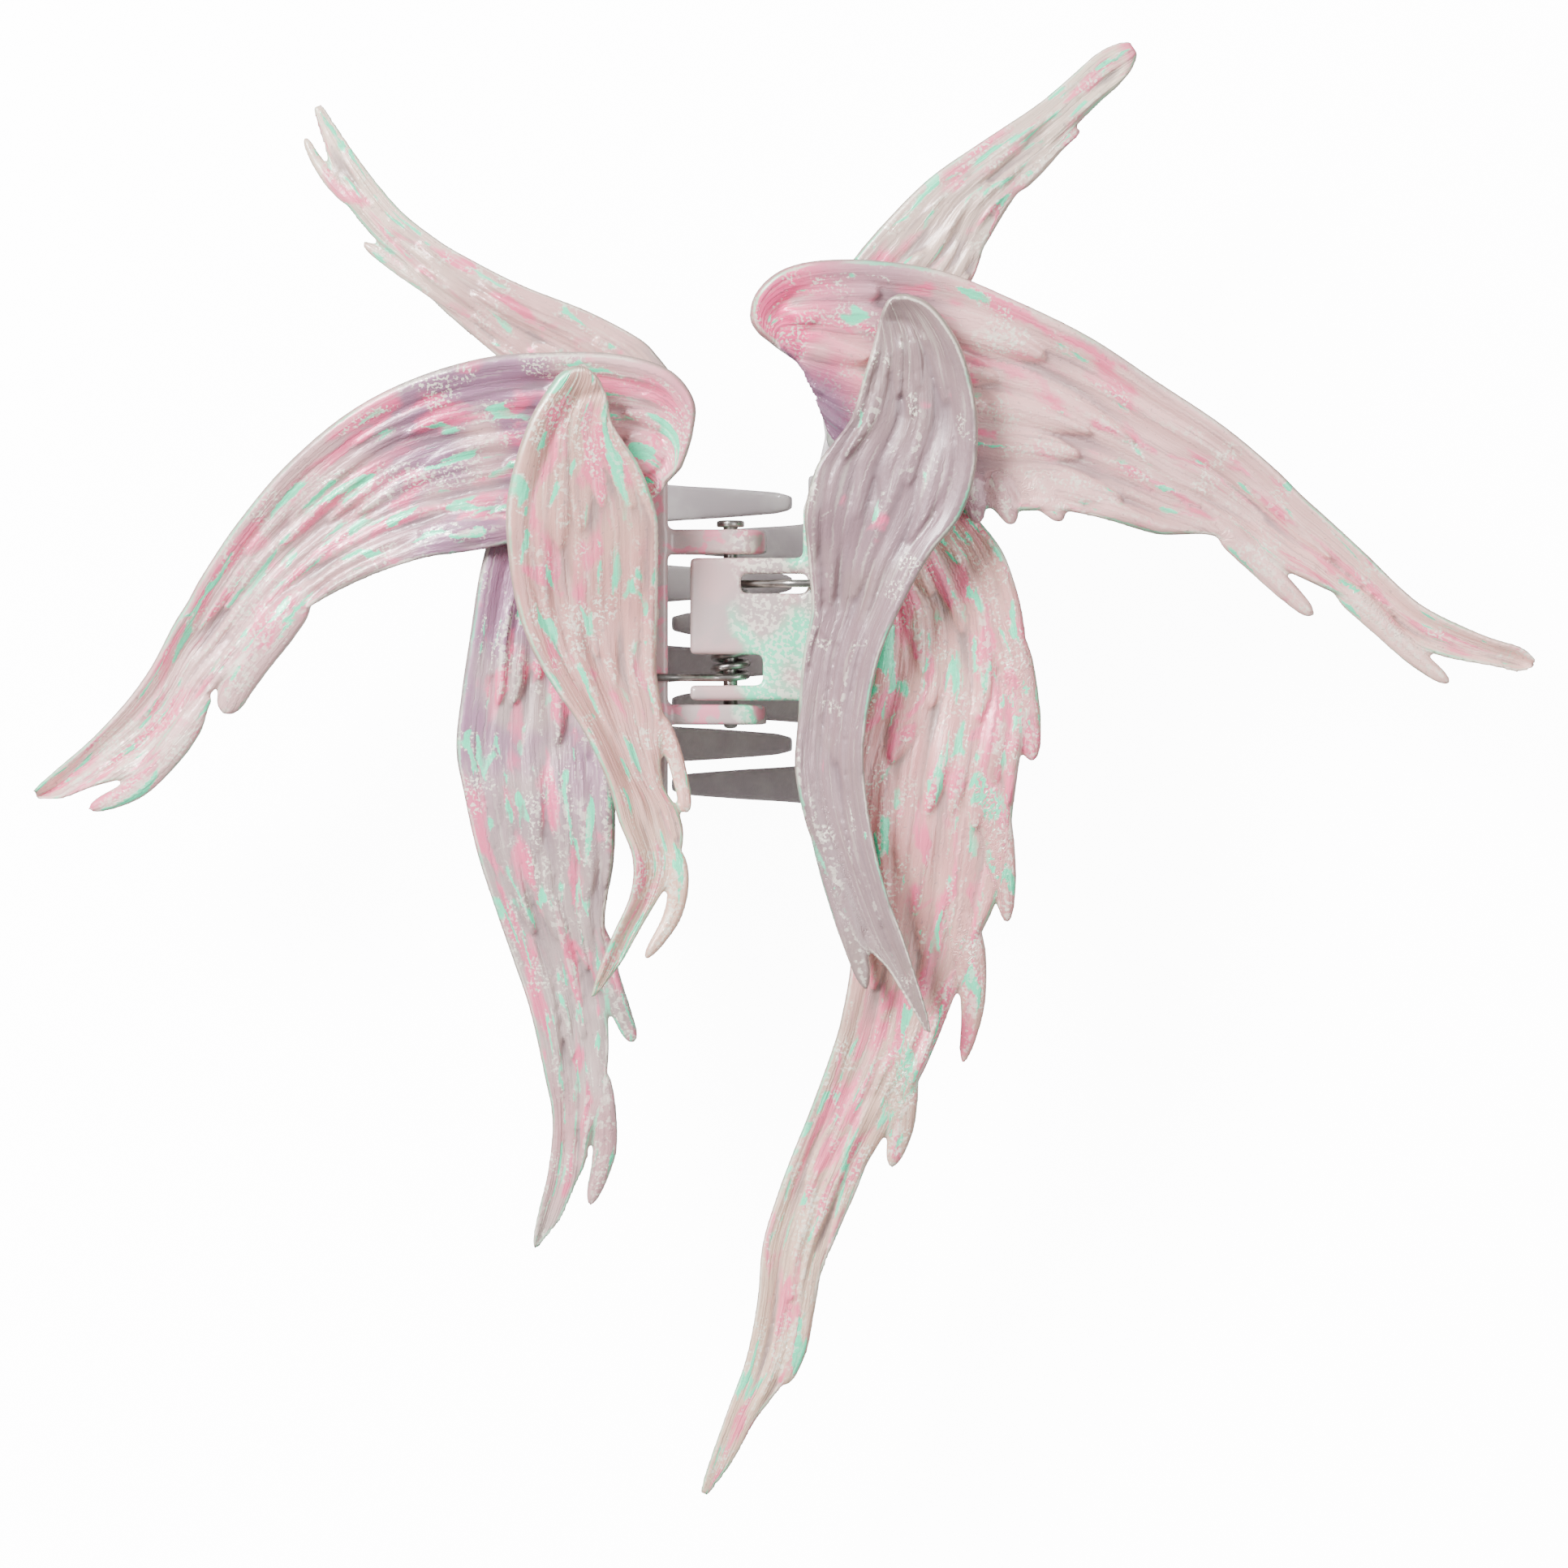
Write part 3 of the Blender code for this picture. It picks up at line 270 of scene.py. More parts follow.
TRAILING_TIGHTNESS = 0.4
SPAN_STEPS = 420
SECTION_STEPS = 110
SECTION_CROWDING = 1.15
WING_VOXEL = 0.27
WING_SMOOTHING = 2


def to_world(points):
    """Millimetres from the hinge to metres in the frame."""
    return HINGE + np.asarray(points) * MM


def smooth_rail(points, steps, tightness=0.5):
    """A curve through every point; a lower tightness turns its corners more sharply."""
    points = np.asarray(points, dtype=float)
    padded = np.vstack([2 * points[0] - points[1], points, 2 * points[-1] - points[-2]])
    place = np.linspace(0, len(points) - 1, steps)
    index = np.minimum(place.astype(int), len(points) - 2)
    t = (place - index)[:, None]
    start, end = padded[index + 1], padded[index + 2]
    start_slope = (end - padded[index]) * tightness
    end_slope = (padded[index + 3] - start) * tightness
    return ((2 * t**3 - 3 * t**2 + 1) * start + (t**3 - 2 * t**2 + t) * start_slope
            + (3 * t**2 - 2 * t**3) * end + (t**3 - t**2) * end_slope)


def ease(value, low, high):
    """0 below low, 1 above high, smooth between them."""
    t = np.clip((value - low) / (high - low), 0, 1)
    return t * t * (3 - 2 * t)


def smooth_noise(shape, cells, seed):
    """Seeded value noise over a grid, from -1 to 1."""
    knots = np.random.default_rng(seed).uniform(-1, 1, (cells[0] + 2, cells[1] + 2))
    rows = np.linspace(0, cells[0], shape[0])
    columns = np.linspace(0, cells[1], shape[1])
    row, column = rows.astype(int), columns.astype(int)
    a = ease(rows - row, 0, 1)[:, None]
    b = ease(columns - column, 0, 1)[None, :]
    near = (1 - b) * knots[np.ix_(row, column)] + b * knots[np.ix_(row, column + 1)]
    far = (1 - b) * knots[np.ix_(row + 1, column)] + b * knots[np.ix_(row + 1, column + 1)]
    return (1 - a) * near + a * far


# The lowest and highest values from which each strand is drawn at random.
STRAND_LENGTHS = (0.75, 1.3)
STRAND_LEANS = (-0.5, 0.9)
STRAND_SHIFTS = (-0.18, 0.18)
STRAND_WIDTHS = (0.56, 0.78)
STRAND_STRENGTHS = (0.65, 1.0)
STRAND_ADVANCES = (0.5, 0.75)
STRAND_SWAY = 0.45
SWAY_SEED = 40
RIPPLE_SEED = 21
RIPPLE_HEIGHT = 0.24
WAVE_SEED = 9
WAVE_CELLS = (9, 3)
WAVE_HEIGHT = 0.35
# A strand of this height lies level with the plain skin.
LEVEL_CREST = 0.45


def strand_relief(wing, along, strand):
    """Overlapping long strands: their height from 0 to 1, and a tone for each of them."""
    random = np.random.default_rng(wing["seed"])
    height = np.zeros_like(strand)
    tone = np.full_like(strand, 0.5)
    total = along.max()
    files = wing["strands"]
    root_length, tip_length = wing["leaf"]
    sway = strand + smooth_noise(strand.shape, (6, 2), wing["seed"] + SWAY_SEED) * STRAND_SWAY / files
    for file in range(files + 1):
        start = -random.uniform(0, root_length)
        while start < total:
            share = np.clip(start / total, 0, 1)
            length = (root_length * (1 - share) + tip_length * share) * random.uniform(*STRAND_LENGTHS)
            lean = random.uniform(*STRAND_LEANS) / files
            middle = (file + 0.5 + random.uniform(*STRAND_SHIFTS)) / files
            width = random.uniform(*STRAND_WIDTHS) / files
            strength = random.uniform(*STRAND_STRENGTHS)
            shade = random.uniform(0, 1)
            t = (along - start) / length
            taper = np.sqrt(ease(t, 0.0, 0.4)) * np.sqrt(np.clip((1 - t) / 0.3, 0, 1))
            offset = (sway - middle - lean * (t - 0.5)) / np.maximum(width * taper, 1e-4)
            body = np.sqrt(np.clip(1 - offset**2, 0, 1)) * ease(t, -0.02, 0.5) * (t < 1)
            body = body * (0.55 + 0.45 * ease(t, 0.0, 0.85)) * strength
            tone = np.where(body > height, shade, tone)
            height = np.maximum(height, body)
            start += length * random.uniform(*STRAND_ADVANCES)
    return height, tone


def distance_from_rim(middle):
    """How far each point lies, seen from above, from the leading edge or the root end."""
    outline = np.concatenate([middle[0, ::-1, :2], middle[:, 0, :2]])
    return np.array([np.linalg.norm(row[:, None, :2] - outline[None], axis=2).min(axis=1)
                     for row in middle])


def section_places(wing):
    """The skin's middle points, and where each of them lies along the span and across the chord."""
    ribs = np.asarray(wing["ribs"])
    leading = smooth_rail(ribs[:, :3], SPAN_STEPS)[:, None, :]
    trailing = smooth_rail(ribs[:, 3:], SPAN_STEPS, TRAILING_TIGHTNESS)[:, None, :]
    shape = (SPAN_STEPS, SECTION_STEPS)
    span = np.linspace(0, 1, SPAN_STEPS)[:, None] * np.ones(shape)
    centre = (leading + trailing)[:, 0, :] / 2
    steps = np.linalg.norm(np.diff(centre, axis=0), axis=1)
    along = np.concatenate([[0], np.cumsum(steps)])[:, None] * np.ones(shape)
    chord = np.linalg.norm(trailing - leading, axis=2)
    across = (trailing - leading) / np.maximum(chord, 1e-6)[:, :, None]
    radius = wing["edge"] * (1 - EDGE_TAPER * span)
    overhang = np.minimum(radius, chord / 3)
    spread = np.linspace(0, 1, SECTION_STEPS)[None, :] ** SECTION_CROWDING
    distance = -overhang + (chord + overhang) * spread
    fraction = np.clip(distance / np.maximum(chord, 1e-6), 0, 1)
    middle = leading + across * distance[:, :, None]
    middle[:, :, 2] -= wing["camber"] * np.sin(np.pi * fraction) * ease(span, 0, 0.12)
    return middle, span, along, chord, radius, fraction, chord - distance


def edge_section(depth, radius):
    """Half the skin's thickness from the rolled rim to the thin web, and the groove behind the roll."""
    half_web = np.minimum(WEB_THICKNESS / 2, radius)
    roll = np.sqrt(np.clip(radius**2 - np.clip(depth, -radius, 0) ** 2, 0, None))
    fall = np.exp(-((np.clip(depth, 0, None) / (1.5 * radius)) ** 2))
    half = np.where(depth < 0, roll, half_web + (radius - half_web) * fall)
    groove = np.exp(-(((depth - 1.9 * radius) / (0.45 * radius)) ** 2)) * 0.25 * radius
    return half, groove


def trailing_rounding(chord, to_trailing):
    """1 over the wing, and a quarter circle down to 0 at the trailing edge."""
    edge_run = np.clip(to_trailing / np.minimum(0.8, 0.4 * chord + 0.1), 0, 1)
    return np.sqrt(np.clip(1 - (1 - edge_run) ** 2, 0, 1))


def rim_mask(depth, radius, to_trailing):
    """1 on the wing's outline, falling to 0 inside it."""
    rim = np.exp(-(((depth + radius) / (0.6 * radius)) ** 2))
    return np.maximum(rim, 0.8 * (1 - ease(to_trailing, 0.1, 0.7)))


def wing_grid(wing):
    """Points of the wing's top and bottom skins, with the values that colour them."""
    middle, span, along, chord, radius, fraction, to_trailing = section_places(wing)
    wide_chord = np.quantile(chord, 0.7)
    strand = fraction * ease(chord / wide_chord, -0.6, 1.0)
    depth = distance_from_rim(middle) - radius
    half, groove = edge_section(depth, radius)
    rounding = trailing_rounding(chord, to_trailing)
    crest, tone = strand_relief(wing, along, strand)
    ripple_cells = (16, 2 * wing["strands"] + 2)
    ripples = smooth_noise(fraction.shape, ripple_cells, wing["seed"] + RIPPLE_SEED) * RIPPLE_HEIGHT
    waves = smooth_noise(fraction.shape, WAVE_CELLS, wing["seed"] + WAVE_SEED) * WAVE_HEIGHT
    web = ease(depth / radius, 0.8, 3.0) * ease(along, 1.0, 7.0)
    fading = ease(chord, 1.0, 5.0)
    relief = wing["ridge"] * (crest - LEVEL_CREST + waves + ripples) * web * fading
    relief = np.where(relief < 0, VALLEY_LIMIT * np.expm1(relief / VALLEY_LIMIT), relief)
    top = (half + relief - groove * ease(along, 0.0, 3.0)) * rounding
    bottom = (half + UNDERSIDE_SHARE * relief) * rounding
    lift = np.zeros_like(middle)
    lift[:, :, 2] = 1.0
    return {
        "top": middle + lift * top[:, :, None], "bottom": middle - lift * bottom[:, :, None],
        "span": span, "along": along, "across": strand * wide_chord,
        "rim": rim_mask(depth, radius, to_trailing), "tone": tone,
        "crest": np.clip(crest + ripples, 0, 1) * web + 0.8 * (1 - web),
        # Where painted shade falls: the skin turning down behind the root.
        "shade": ease(fraction, 0.25, 0.68) * (1 - ease(along, 6.0, 13.0)),
    }


VALUE_NAMES = ("span", "along", "across", "rim", "crest", "tone", "shade")


def built_mesh(name, builder):
    """The mesh that a bmesh builder holds."""
    mesh = bpy.data.meshes.new(name)
    builder.to_mesh(mesh)
    builder.free()
    return mesh


def mesh_from_rings(name, rings):
    """A closed mesh through equal rings of points (mm), capped at both ends, facing out."""
    rows, columns = rings.shape[:2]
    index = np.arange(rows * columns).reshape(rows, columns)
    following = np.roll(index, -1, axis=1)
    quads = np.stack([index[:-1], following[:-1], following[1:], index[1:]], axis=-1).reshape(-1, 4)
    faces = quads.tolist() + [index[0].tolist(), index[-1][::-1].tolist()]
    mesh = bpy.data.meshes.new(name)
    mesh.from_pydata(to_world(rings.reshape(-1, 3)).tolist(), [], faces)
    builder = bmesh.new()
    builder.from_mesh(mesh)
    bmesh.ops.recalc_face_normals(builder, faces=builder.faces)
    builder.to_mesh(mesh)
    builder.free()
    return mesh


def add_object(name, data):
    """Put a mesh, curve, light or camera in the scene as an object."""
    piece = bpy.data.objects.new(name, data)
    bpy.context.scene.collection.objects.link(piece)
    return piece


FEATHER_STEPS = 44
FEATHER_SIDES = 20
FEATHER_DROOP = 0.18
FEATHER_STAGGER = 0.12
SKIN_STRIDE = 3


def feather_width(widths):
    """Half the feather's width at each step: slim at its foot and round at its tip."""
    t = np.linspace(0, 1, FEATHER_STEPS)
    width = np.interp(t, np.linspace(0, 1, len(widths)), widths) / 2
    tip = np.sqrt(np.clip(1 - np.clip((t - 0.86) / 0.14, 0, 1) ** 2, 0.0004, 1))
    return width * tip * (0.5 + 0.5 * ease(t, 0, 0.2))


def feather_line(path, grid, lift):
    """The feather's middle line at the skin's height, and the skin sample nearest to each point."""
    line = smooth_rail(np.column_stack([path[:, :2], np.zeros(len(path))]), FEATHER_STEPS)
    skin = (grid["top"] + grid["bottom"])[::SKIN_STRIDE, ::SKIN_STRIDE].reshape(-1, 3) / 2
    gaps = np.linalg.norm(skin[None, :, :2] - line[:, None, :2], axis=2)
    nearest = gaps.argmin(axis=1)
    kernel = np.ones(9) / 9
    heights = np.convolve(np.pad(skin[nearest, 2], 4, mode="edge"), kernel, mode="valid")
    line[:, 2] = heights - FEATHER_DROOP * gaps.min(axis=1) + lift
    return line, nearest


def feather_values(grid, nearest, width, angles):
    """The values that colour the feather: its own ridge and rim, the rest from the nearest skin."""
    column = np.ones((FEATHER_STEPS, 1))
    values = {}
    for key in VALUE_NAMES:
        samples = grid[key][::SKIN_STRIDE, ::SKIN_STRIDE].reshape(-1)
        values[key] = samples[nearest][:, None] * np.ones((1, FEATHER_SIDES))
    values["crest"] = np.clip(np.sin(angles), 0, 1)[None, :] * column
    values["rim"] = 0.55 * np.abs(np.cos(angles))[None, :] ** 4 * column
    values["across"] = values["across"][:1] * column + width[:, None] * np.cos(angles)
    values["along"] = values["along"][:1] + 0.3 * np.arange(FEATHER_STEPS)[:, None]
    return values


def feather_rings(path, grid, lift):
    """One loose feather: a flattened spindle that starts inside the skin."""
    path = np.asarray(path)
    line, nearest = feather_line(path, grid, lift)
    width = feather_width(path[:, 2])
    heading = np.gradient(line[:, :2], axis=0)
    heading /= np.linalg.norm(heading, axis=1)[:, None]
    side = np.column_stack([-heading[:, 1], heading[:, 0], np.zeros(FEATHER_STEPS)])
    angles = np.linspace(0, 2 * math.pi, FEATHER_SIDES, endpoint=False)
    height = np.minimum(0.3 + 0.36 * width, 0.85 * width + 0.02)
    rings = line[:, None, :] + side[:, None, :] * (width[:, None] * np.cos(angles))[:, :, None]
    rings[:, :, 2] += height[:, None] * np.sin(angles)
    return rings, feather_values(grid, nearest, width, angles)


BOSS_RADIUS = 2.2
BOSS_FOOT_Z = 4.6
BOSS_SIDES = 32


def boss_rings(x, y, top):
    """The round boss under a wing, which its screw bites into."""
    angles = np.linspace(0, 2 * math.pi, BOSS_SIDES, endpoint=False)
    circle = [x + BOSS_RADIUS * np.cos(angles), y + BOSS_RADIUS * np.sin(angles)]
    return np.array([np.column_stack([*circle, np.full(BOSS_SIDES, height)])
                     for height in (BOSS_FOOT_Z, top)])


def evaluated_mesh(piece):
    """A new mesh of the object as it looks with its modifiers."""
    graph = bpy.context.evaluated_depsgraph_get()
    return bpy.data.meshes.new_from_object(piece.evaluated_get(graph))


def apply_modifiers(piece):
    """Replace the object's mesh by its evaluated one."""
    mesh = evaluated_mesh(piece)
    piece.modifiers.clear()
    old = piece.data
    piece.data = mesh
    bpy.data.meshes.remove(old)


def fuse(piece, voxel, smoothing):
    """Remesh the piece into one skin and soften it."""
    remesh = piece.modifiers.new("remesh", "REMESH")
    remesh.mode = "VOXEL"
    remesh.voxel_size = voxel * MM
    soften = piece.modifiers.new("soften", "SMOOTH")
    soften.factor = 0.5
    soften.iterations = smoothing
    apply_modifiers(piece)
    piece.data.shade_smooth()


NEAREST_SAMPLES = 4


def carry_values(mesh, points, values):
    """Give every vertex of the skin the mean of the values at the nearest samples."""
    points = to_world(points)
    tree = kdtree.KDTree(len(points))
    for index, point in enumerate(points):
        tree.insert(point, index)
    tree.balance()
    nearest = np.array([[found[1] for found in tree.find_n(vertex.co, NEAREST_SAMPLES)]
                        for vertex in mesh.vertices])
    for key in VALUE_NAMES:
        attribute = mesh.attributes.new(key, "FLOAT", "POINT")
        attribute.data.foreach_set("value", values[key][nearest].mean(axis=1).astype(np.float32))


def joined_mesh(name, meshes):
    """One mesh that holds all the given ones."""
    builder = bmesh.new()
    for mesh in meshes:
        builder.from_mesh(mesh)
    return built_mesh(name, builder)


def make_wing(name, wing):
    """Sculpt one wing with its loose feathers and give it its pearl finish."""
    grid = wing_grid(wing)
    skin = np.concatenate([grid["top"], grid["bottom"][:, -2:0:-1]], axis=1)
    boss = boss_rings(*wing["boss"])
    meshes = [mesh_from_rings(name + "_skin", skin), mesh_from_rings(name + "_boss", boss)]
    points = [grid["top"][:, ::2].reshape(-1, 3), grid["bottom"][::3, ::3].reshape(-1, 3)]
    values = {key: [grid[key][:, ::2].reshape(-1), grid[key][::3, ::3].reshape(-1)]
              for key in VALUE_NAMES}
    for number, path in enumerate(wing["feathers"]):
        rings, feather = feather_rings(path, grid, FEATHER_STAGGER * (number % 2))
        meshes.append(mesh_from_rings(f"{name}_feather_{number}", rings))
        points.append(rings.reshape(-1, 3))
        for key in VALUE_NAMES:
            values[key].append(feather[key].reshape(-1))
    piece = add_object(name + "_sculpt", joined_mesh(name + "_sculpt", meshes))
    fuse(piece, WING_VOXEL, WING_SMOOTHING)
    carry_values(piece.data, np.vstack(points), {key: np.concatenate(values[key]) for key in VALUE_NAMES})
    piece.data.materials.append(pearl_material(name + "_pearl", wing))
    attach(piece, wing["body"])
    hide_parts(name)


# ---- Materials ----
class Shading:
    """Short calls that build one material's node tree."""

    def __init__(self, name):
        self.material = bpy.data.materials.new(name)
        self.material.use_nodes = True
        self.tree = self.material.node_tree
        self.shader = self.tree.nodes["Principled BSDF"]

    def put(self, socket, value):
        """Link a node output to a socket, or set the socket to a constant."""
        if isinstance(value, bpy.types.NodeSocket):
            self.tree.links.new(value, socket)
        elif isinstance(value, tuple) and len(value) == 3 and socket.type == "RGBA":
            socket.default_value = (*value, 1.0)
        else:
            socket.default_value = value

    def set(self, name, value):
        """Link or set one of the shader's own inputs."""
        self.put(self.shader.inputs[name], value)

    def node(self, kind, **settings):
        """Add a node and set its properties."""
        node = self.tree.nodes.new(kind)
        for key, value in settings.items():
            setattr(node, key, value)
        return node

    def math(self, operation, first, second=0.0):
        """A math node's result."""
        node = self.node("ShaderNodeMath", operation=operation)
        self.put(node.inputs[0], first)
        self.put(node.inputs[1], second)
        return node.outputs[0]

    def times(self, first, *others):
        """The product of several masks and amounts."""
        for other in others:
            first = self.math("MULTIPLY", first, other)
        return first

    def ramp(self, value, low, high):
        """0 at low and 1 at high, smooth between them; low may be above high."""
        node = self.node("ShaderNodeMapRange", interpolation_type="SMOOTHSTEP")
        self.put(node.inputs["Value"], value)
        self.put(node.inputs["From Min"], low)
        self.put(node.inputs["From Max"], high)
        return node.outputs[0]

    def mix(self, amount, first, second):
        """The first colour covered by the second, as far as the amount says."""
        node = self.node("ShaderNodeMix", data_type="RGBA")
        self.put(node.inputs[0], amount)
        self.put(node.inputs[6], first)
        self.put(node.inputs[7], second)
        return node.outputs[2]

    def value(self, name):
        """A named number stored on the mesh."""
        return self.node("ShaderNodeAttribute", attribute_name=name).outputs["Fac"]

    def flow(self, length, width, seed):
        """Coordinates along and across the strands, in steps of these sizes (mm)."""
        node = self.node("ShaderNodeCombineXYZ")
        self.put(node.inputs[0], self.math("DIVIDE", self.value("along"), length))
        self.put(node.inputs[1], self.math("DIVIDE", self.value("across"), width))
        node.inputs[2].default_value = seed
        return node.outputs[0]

    def place(self):
        """Object coordinates."""
        return self.node("ShaderNodeTexCoord").outputs["Object"]

    def noise(self, vector, scale, detail=2.0, distortion=0.0):
        """A noise texture's grey value, with its scale per unit of the vector."""
        node = self.node("ShaderNodeTexNoise")
        self.put(node.inputs["Vector"], vector)
        node.inputs["Scale"].default_value = scale
        node.inputs["Detail"].default_value = detail
        node.inputs["Distortion"].default_value = distortion
        return node.outputs[0]

    def bump(self, height, strength, distance, below=None):
        """A bump of the given height map."""
        node = self.node("ShaderNodeBump")
        node.inputs["Strength"].default_value = strength
        node.inputs["Distance"].default_value = distance
        self.put(node.inputs["Height"], height)
        if below is not None:
            self.put(node.inputs["Normal"], below)
        return node.outputs[0]


# The pearl's pink and mint flashes: partly their own colour, partly painted iridescent sheen.
HOT_PINK_SHEEN = (1.0, 0.10, 0.28)
MINT_SHEEN = (0.02, 0.94, 0.50)
# Painted shade in mauve, where a wing in front shades the hollows.
LAVENDER_SHADE = (0.33, 0.16, 0.26)
# Painted shade where the skin turns down behind the root.
UNDERCUT_SHADE = (0.17, 0.10, 0.16)
TIP_SHIFT = (1.16, 1.28, 1.18)
CLOUD_SHADE = 0.86
# Painted highlights and glints.
CREAM_HIGHLIGHT = (1.0, 0.96, 0.80)
OLIVE_GREY = (0.33, 0.31, 0.25)
# Painted shade in the grooves, and the colour of the plastic's own dark specks.
GROOVE_SHADE_AND_SPECK = (0.22, 0.15, 0.17)

# Noise scales on the wings, in features per metre.
CLOUD_SCALE = 70.0
MAUVE_SCALE = 90.0
RIM_COLOUR_SCALE = 95.0
GLITTER_PATCH_SCALE = 210.0
SPARKLE_SCALE = 1400.0
GRAIN_SCALE = 1500.0
SPECK_SCALE = 1900.0
FLECK_SCALE = 3000.0

GROOVE_COVER = 0.66


def span_band(shading, middle, reach):
    """1 near a place along the wing's span, falling to 0 at its reach."""
    gap = shading.math("ABSOLUTE", shading.math("SUBTRACT", shading.value("span"), middle))
    return shading.ramp(gap, reach, 0.3 * reach)


def base_paint(shading, wing, cloud):
    """The wing's cloudy colour, paler at the tip, with painted shade: mauve in one zone, dark in the
    grooves.
    """
    shaded = tuple(CLOUD_SHADE * part for part in wing["base"])
    colour = shading.mix(shading.ramp(cloud, 0.42, 0.62), wing["base"], shaded)
    tip_colour = tuple(part * shift for part, shift in zip(wing["base"], TIP_SHIFT))
    colour = shading.mix(shading.ramp(shading.value("span"), 0.45, 0.9), colour, tip_colour)
    # Painted shade: mauve patches in the hollow that the wing in front shades.
    middle, reach, amount = wing["lavender_shade"]
    patches = shading.ramp(shading.noise(shading.place(), MAUVE_SCALE), 0.32, 0.52)
    mauve_shade = shading.times(span_band(shading, middle, reach), patches, amount)
    colour = shading.mix(mauve_shade, colour, LAVENDER_SHADE)
    # Painted shade in the grooves between the strands.
    low = shading.ramp(shading.value("crest"), 0.55, 0.10)
    inside = shading.ramp(shading.value("rim"), 0.5, 0.1)
    return shading.mix(shading.times(low, inside, GROOVE_COVER), colour, GROOVE_SHADE_AND_SPECK)


def pink_sheen_mask(shading, wing, cloud):
    """Pink on the crests, in long patches along the strands and one flushed zone: partly painted sheen.
    """
    field = shading.noise(shading.flow(7.0, 2.6, wing["seed"] * 3.1), 1.0, 3.0, 0.6)
    field = shading.math("ADD", field, shading.times(shading.value("tone"), 0.14))
    patches = shading.ramp(field, 0.74 - 0.20 * wing["pink"], 0.86 - 0.18 * wing["pink"])
    middle, reach, amount = wing["flush"]
    flush = shading.times(span_band(shading, middle, reach), amount, shading.ramp(cloud, 0.20, 0.45))
    pink = shading.math("MAXIMUM", patches, flush)
    return shading.times(pink, shading.ramp(shading.value("crest"), 0.1, 0.6))


def mint_sheen_masks(shading, wing):
    """Patches of mint on the crests, partly painted sheen, and the wider halo of glitter round them."""
    field = shading.noise(shading.flow(5.0, 1.3, wing["seed"] * 5.7 + 2), 1.0, 2.0, 0.5)
    shift = 0.18 * wing["mint"]
    mint = shading.ramp(field, 0.72 - shift, 0.76 - shift)
    halo = shading.ramp(field, 0.66 - shift, 0.72 - shift)
    return shading.times(mint, shading.ramp(shading.value("crest"), 0.30, 0.60)), halo


def glitter_glint_mask(shading, wing, halo):
    """Glitter flecks on the crests, in patches of their own and round the mint, painted cream as glints.
    """
    flecks = shading.ramp(shading.noise(shading.place(), FLECK_SCALE), 0.53, 0.58)
    patches = shading.noise(shading.place(), GLITTER_PATCH_SCALE)
    patches = shading.ramp(patches, 0.66 - 0.16 * wing["glitter"], 0.72 - 0.12 * wing["glitter"])
    crests = shading.ramp(shading.value("crest"), 0.35, 0.7)
    return shading.times(flecks, shading.math("MAXIMUM", patches, halo), crests)


def ridge_highlight_mask(shading):
    """Painted highlights: sparkling lines along the tops of the strands."""
    sparkle = shading.ramp(shading.noise(shading.place(), SPARKLE_SCALE), 0.51, 0.57)
    return shading.times(shading.ramp(shading.value("crest"), 0.78, 0.94), sparkle)


def rim_highlight_mask(shading, seed):
    """A painted highlight: a broken line just inside the outline."""
    rim = shading.value("rim")
    line = shading.times(shading.ramp(rim, 0.30, 0.50), shading.ramp(rim, 0.85, 0.60))
    broken = shading.ramp(shading.noise(shading.flow(9.0, 3.0, seed + 4.0), 1.0), 0.38, 0.55)
    return shading.times(line, broken)


def pearl_material(name, wing):
    """Pearl paint: pink and mint flashes partly painted sheen, painted crest glints, painted groove
    shade.
    """
    shading = Shading(name)
    place = shading.place()
    seed = wing["seed"]
    cloud = shading.noise(place, CLOUD_SCALE + seed, 2.0, 0.6)
    mint, halo = mint_sheen_masks(shading, wing)
    glitter = glitter_glint_mask(shading, wing, halo)
    fibre = shading.noise(shading.flow(9.0, 0.42, seed + 9.0), 1.0, 2.0, 0.2)
    speck = shading.ramp(shading.noise(place, SPECK_SCALE, 1.0), 0.70, 0.74)
    minted = shading.ramp(shading.noise(place, RIM_COLOUR_SCALE), 0.48, 0.60)
    # Each layer: where it lies, how much it covers there, and its colour.
    layers = [
        (pink_sheen_mask(shading, wing, cloud), 0.78, HOT_PINK_SHEEN),
        # Glitter flecks painted as cream glints.
        (glitter, 0.85, CREAM_HIGHLIGHT),
        (mint, 0.92, MINT_SHEEN),
        # Painted highlights along the strands' tops.
        (ridge_highlight_mask(shading), 0.45, CREAM_HIGHLIGHT),
        # Fine strands: painted shade in their grooves and a painted highlight on their tops.
        (shading.ramp(fibre, 0.54, 0.68), 0.32, GROOVE_SHADE_AND_SPECK),
        (shading.ramp(fibre, 0.43, 0.30), 0.18, CREAM_HIGHLIGHT),
        # Painted shade where the skin turns down behind the root.
        (shading.value("shade"), wing.get("undercut_shade", 0.0), UNDERCUT_SHADE),
        # The plastic's own dark specks.
        (speck, 0.35, GROOVE_SHADE_AND_SPECK),
        (shading.ramp(shading.value("rim"), 0.55, 0.95), 0.75, OLIVE_GREY),
        # A painted highlight inside the outline, cream and mint.
        (rim_highlight_mask(shading, seed), 0.6, shading.mix(minted, CREAM_HIGHLIGHT, MINT_SHEEN)),
    ]
    colour = base_paint(shading, wing, cloud)
    for mask, cover, layer in layers:
        colour = shading.mix(shading.times(mask, cover), colour, layer)
    shading.set("Base Color", colour)
    shading.set("Metallic", 0.10)
    shading.set("Roughness", shading.math("SUBTRACT", 0.40, shading.times(glitter, 0.22)))
    shading.set("Coat Weight", 0.5)
    shading.set("Coat Roughness", 0.20)
    normal = shading.bump(fibre, 0.6, 0.00030)
    normal = shading.bump(shading.noise(place, GRAIN_SCALE), 0.30, 0.00006, normal)
    shading.set("Normal", normal)
    return shading.material


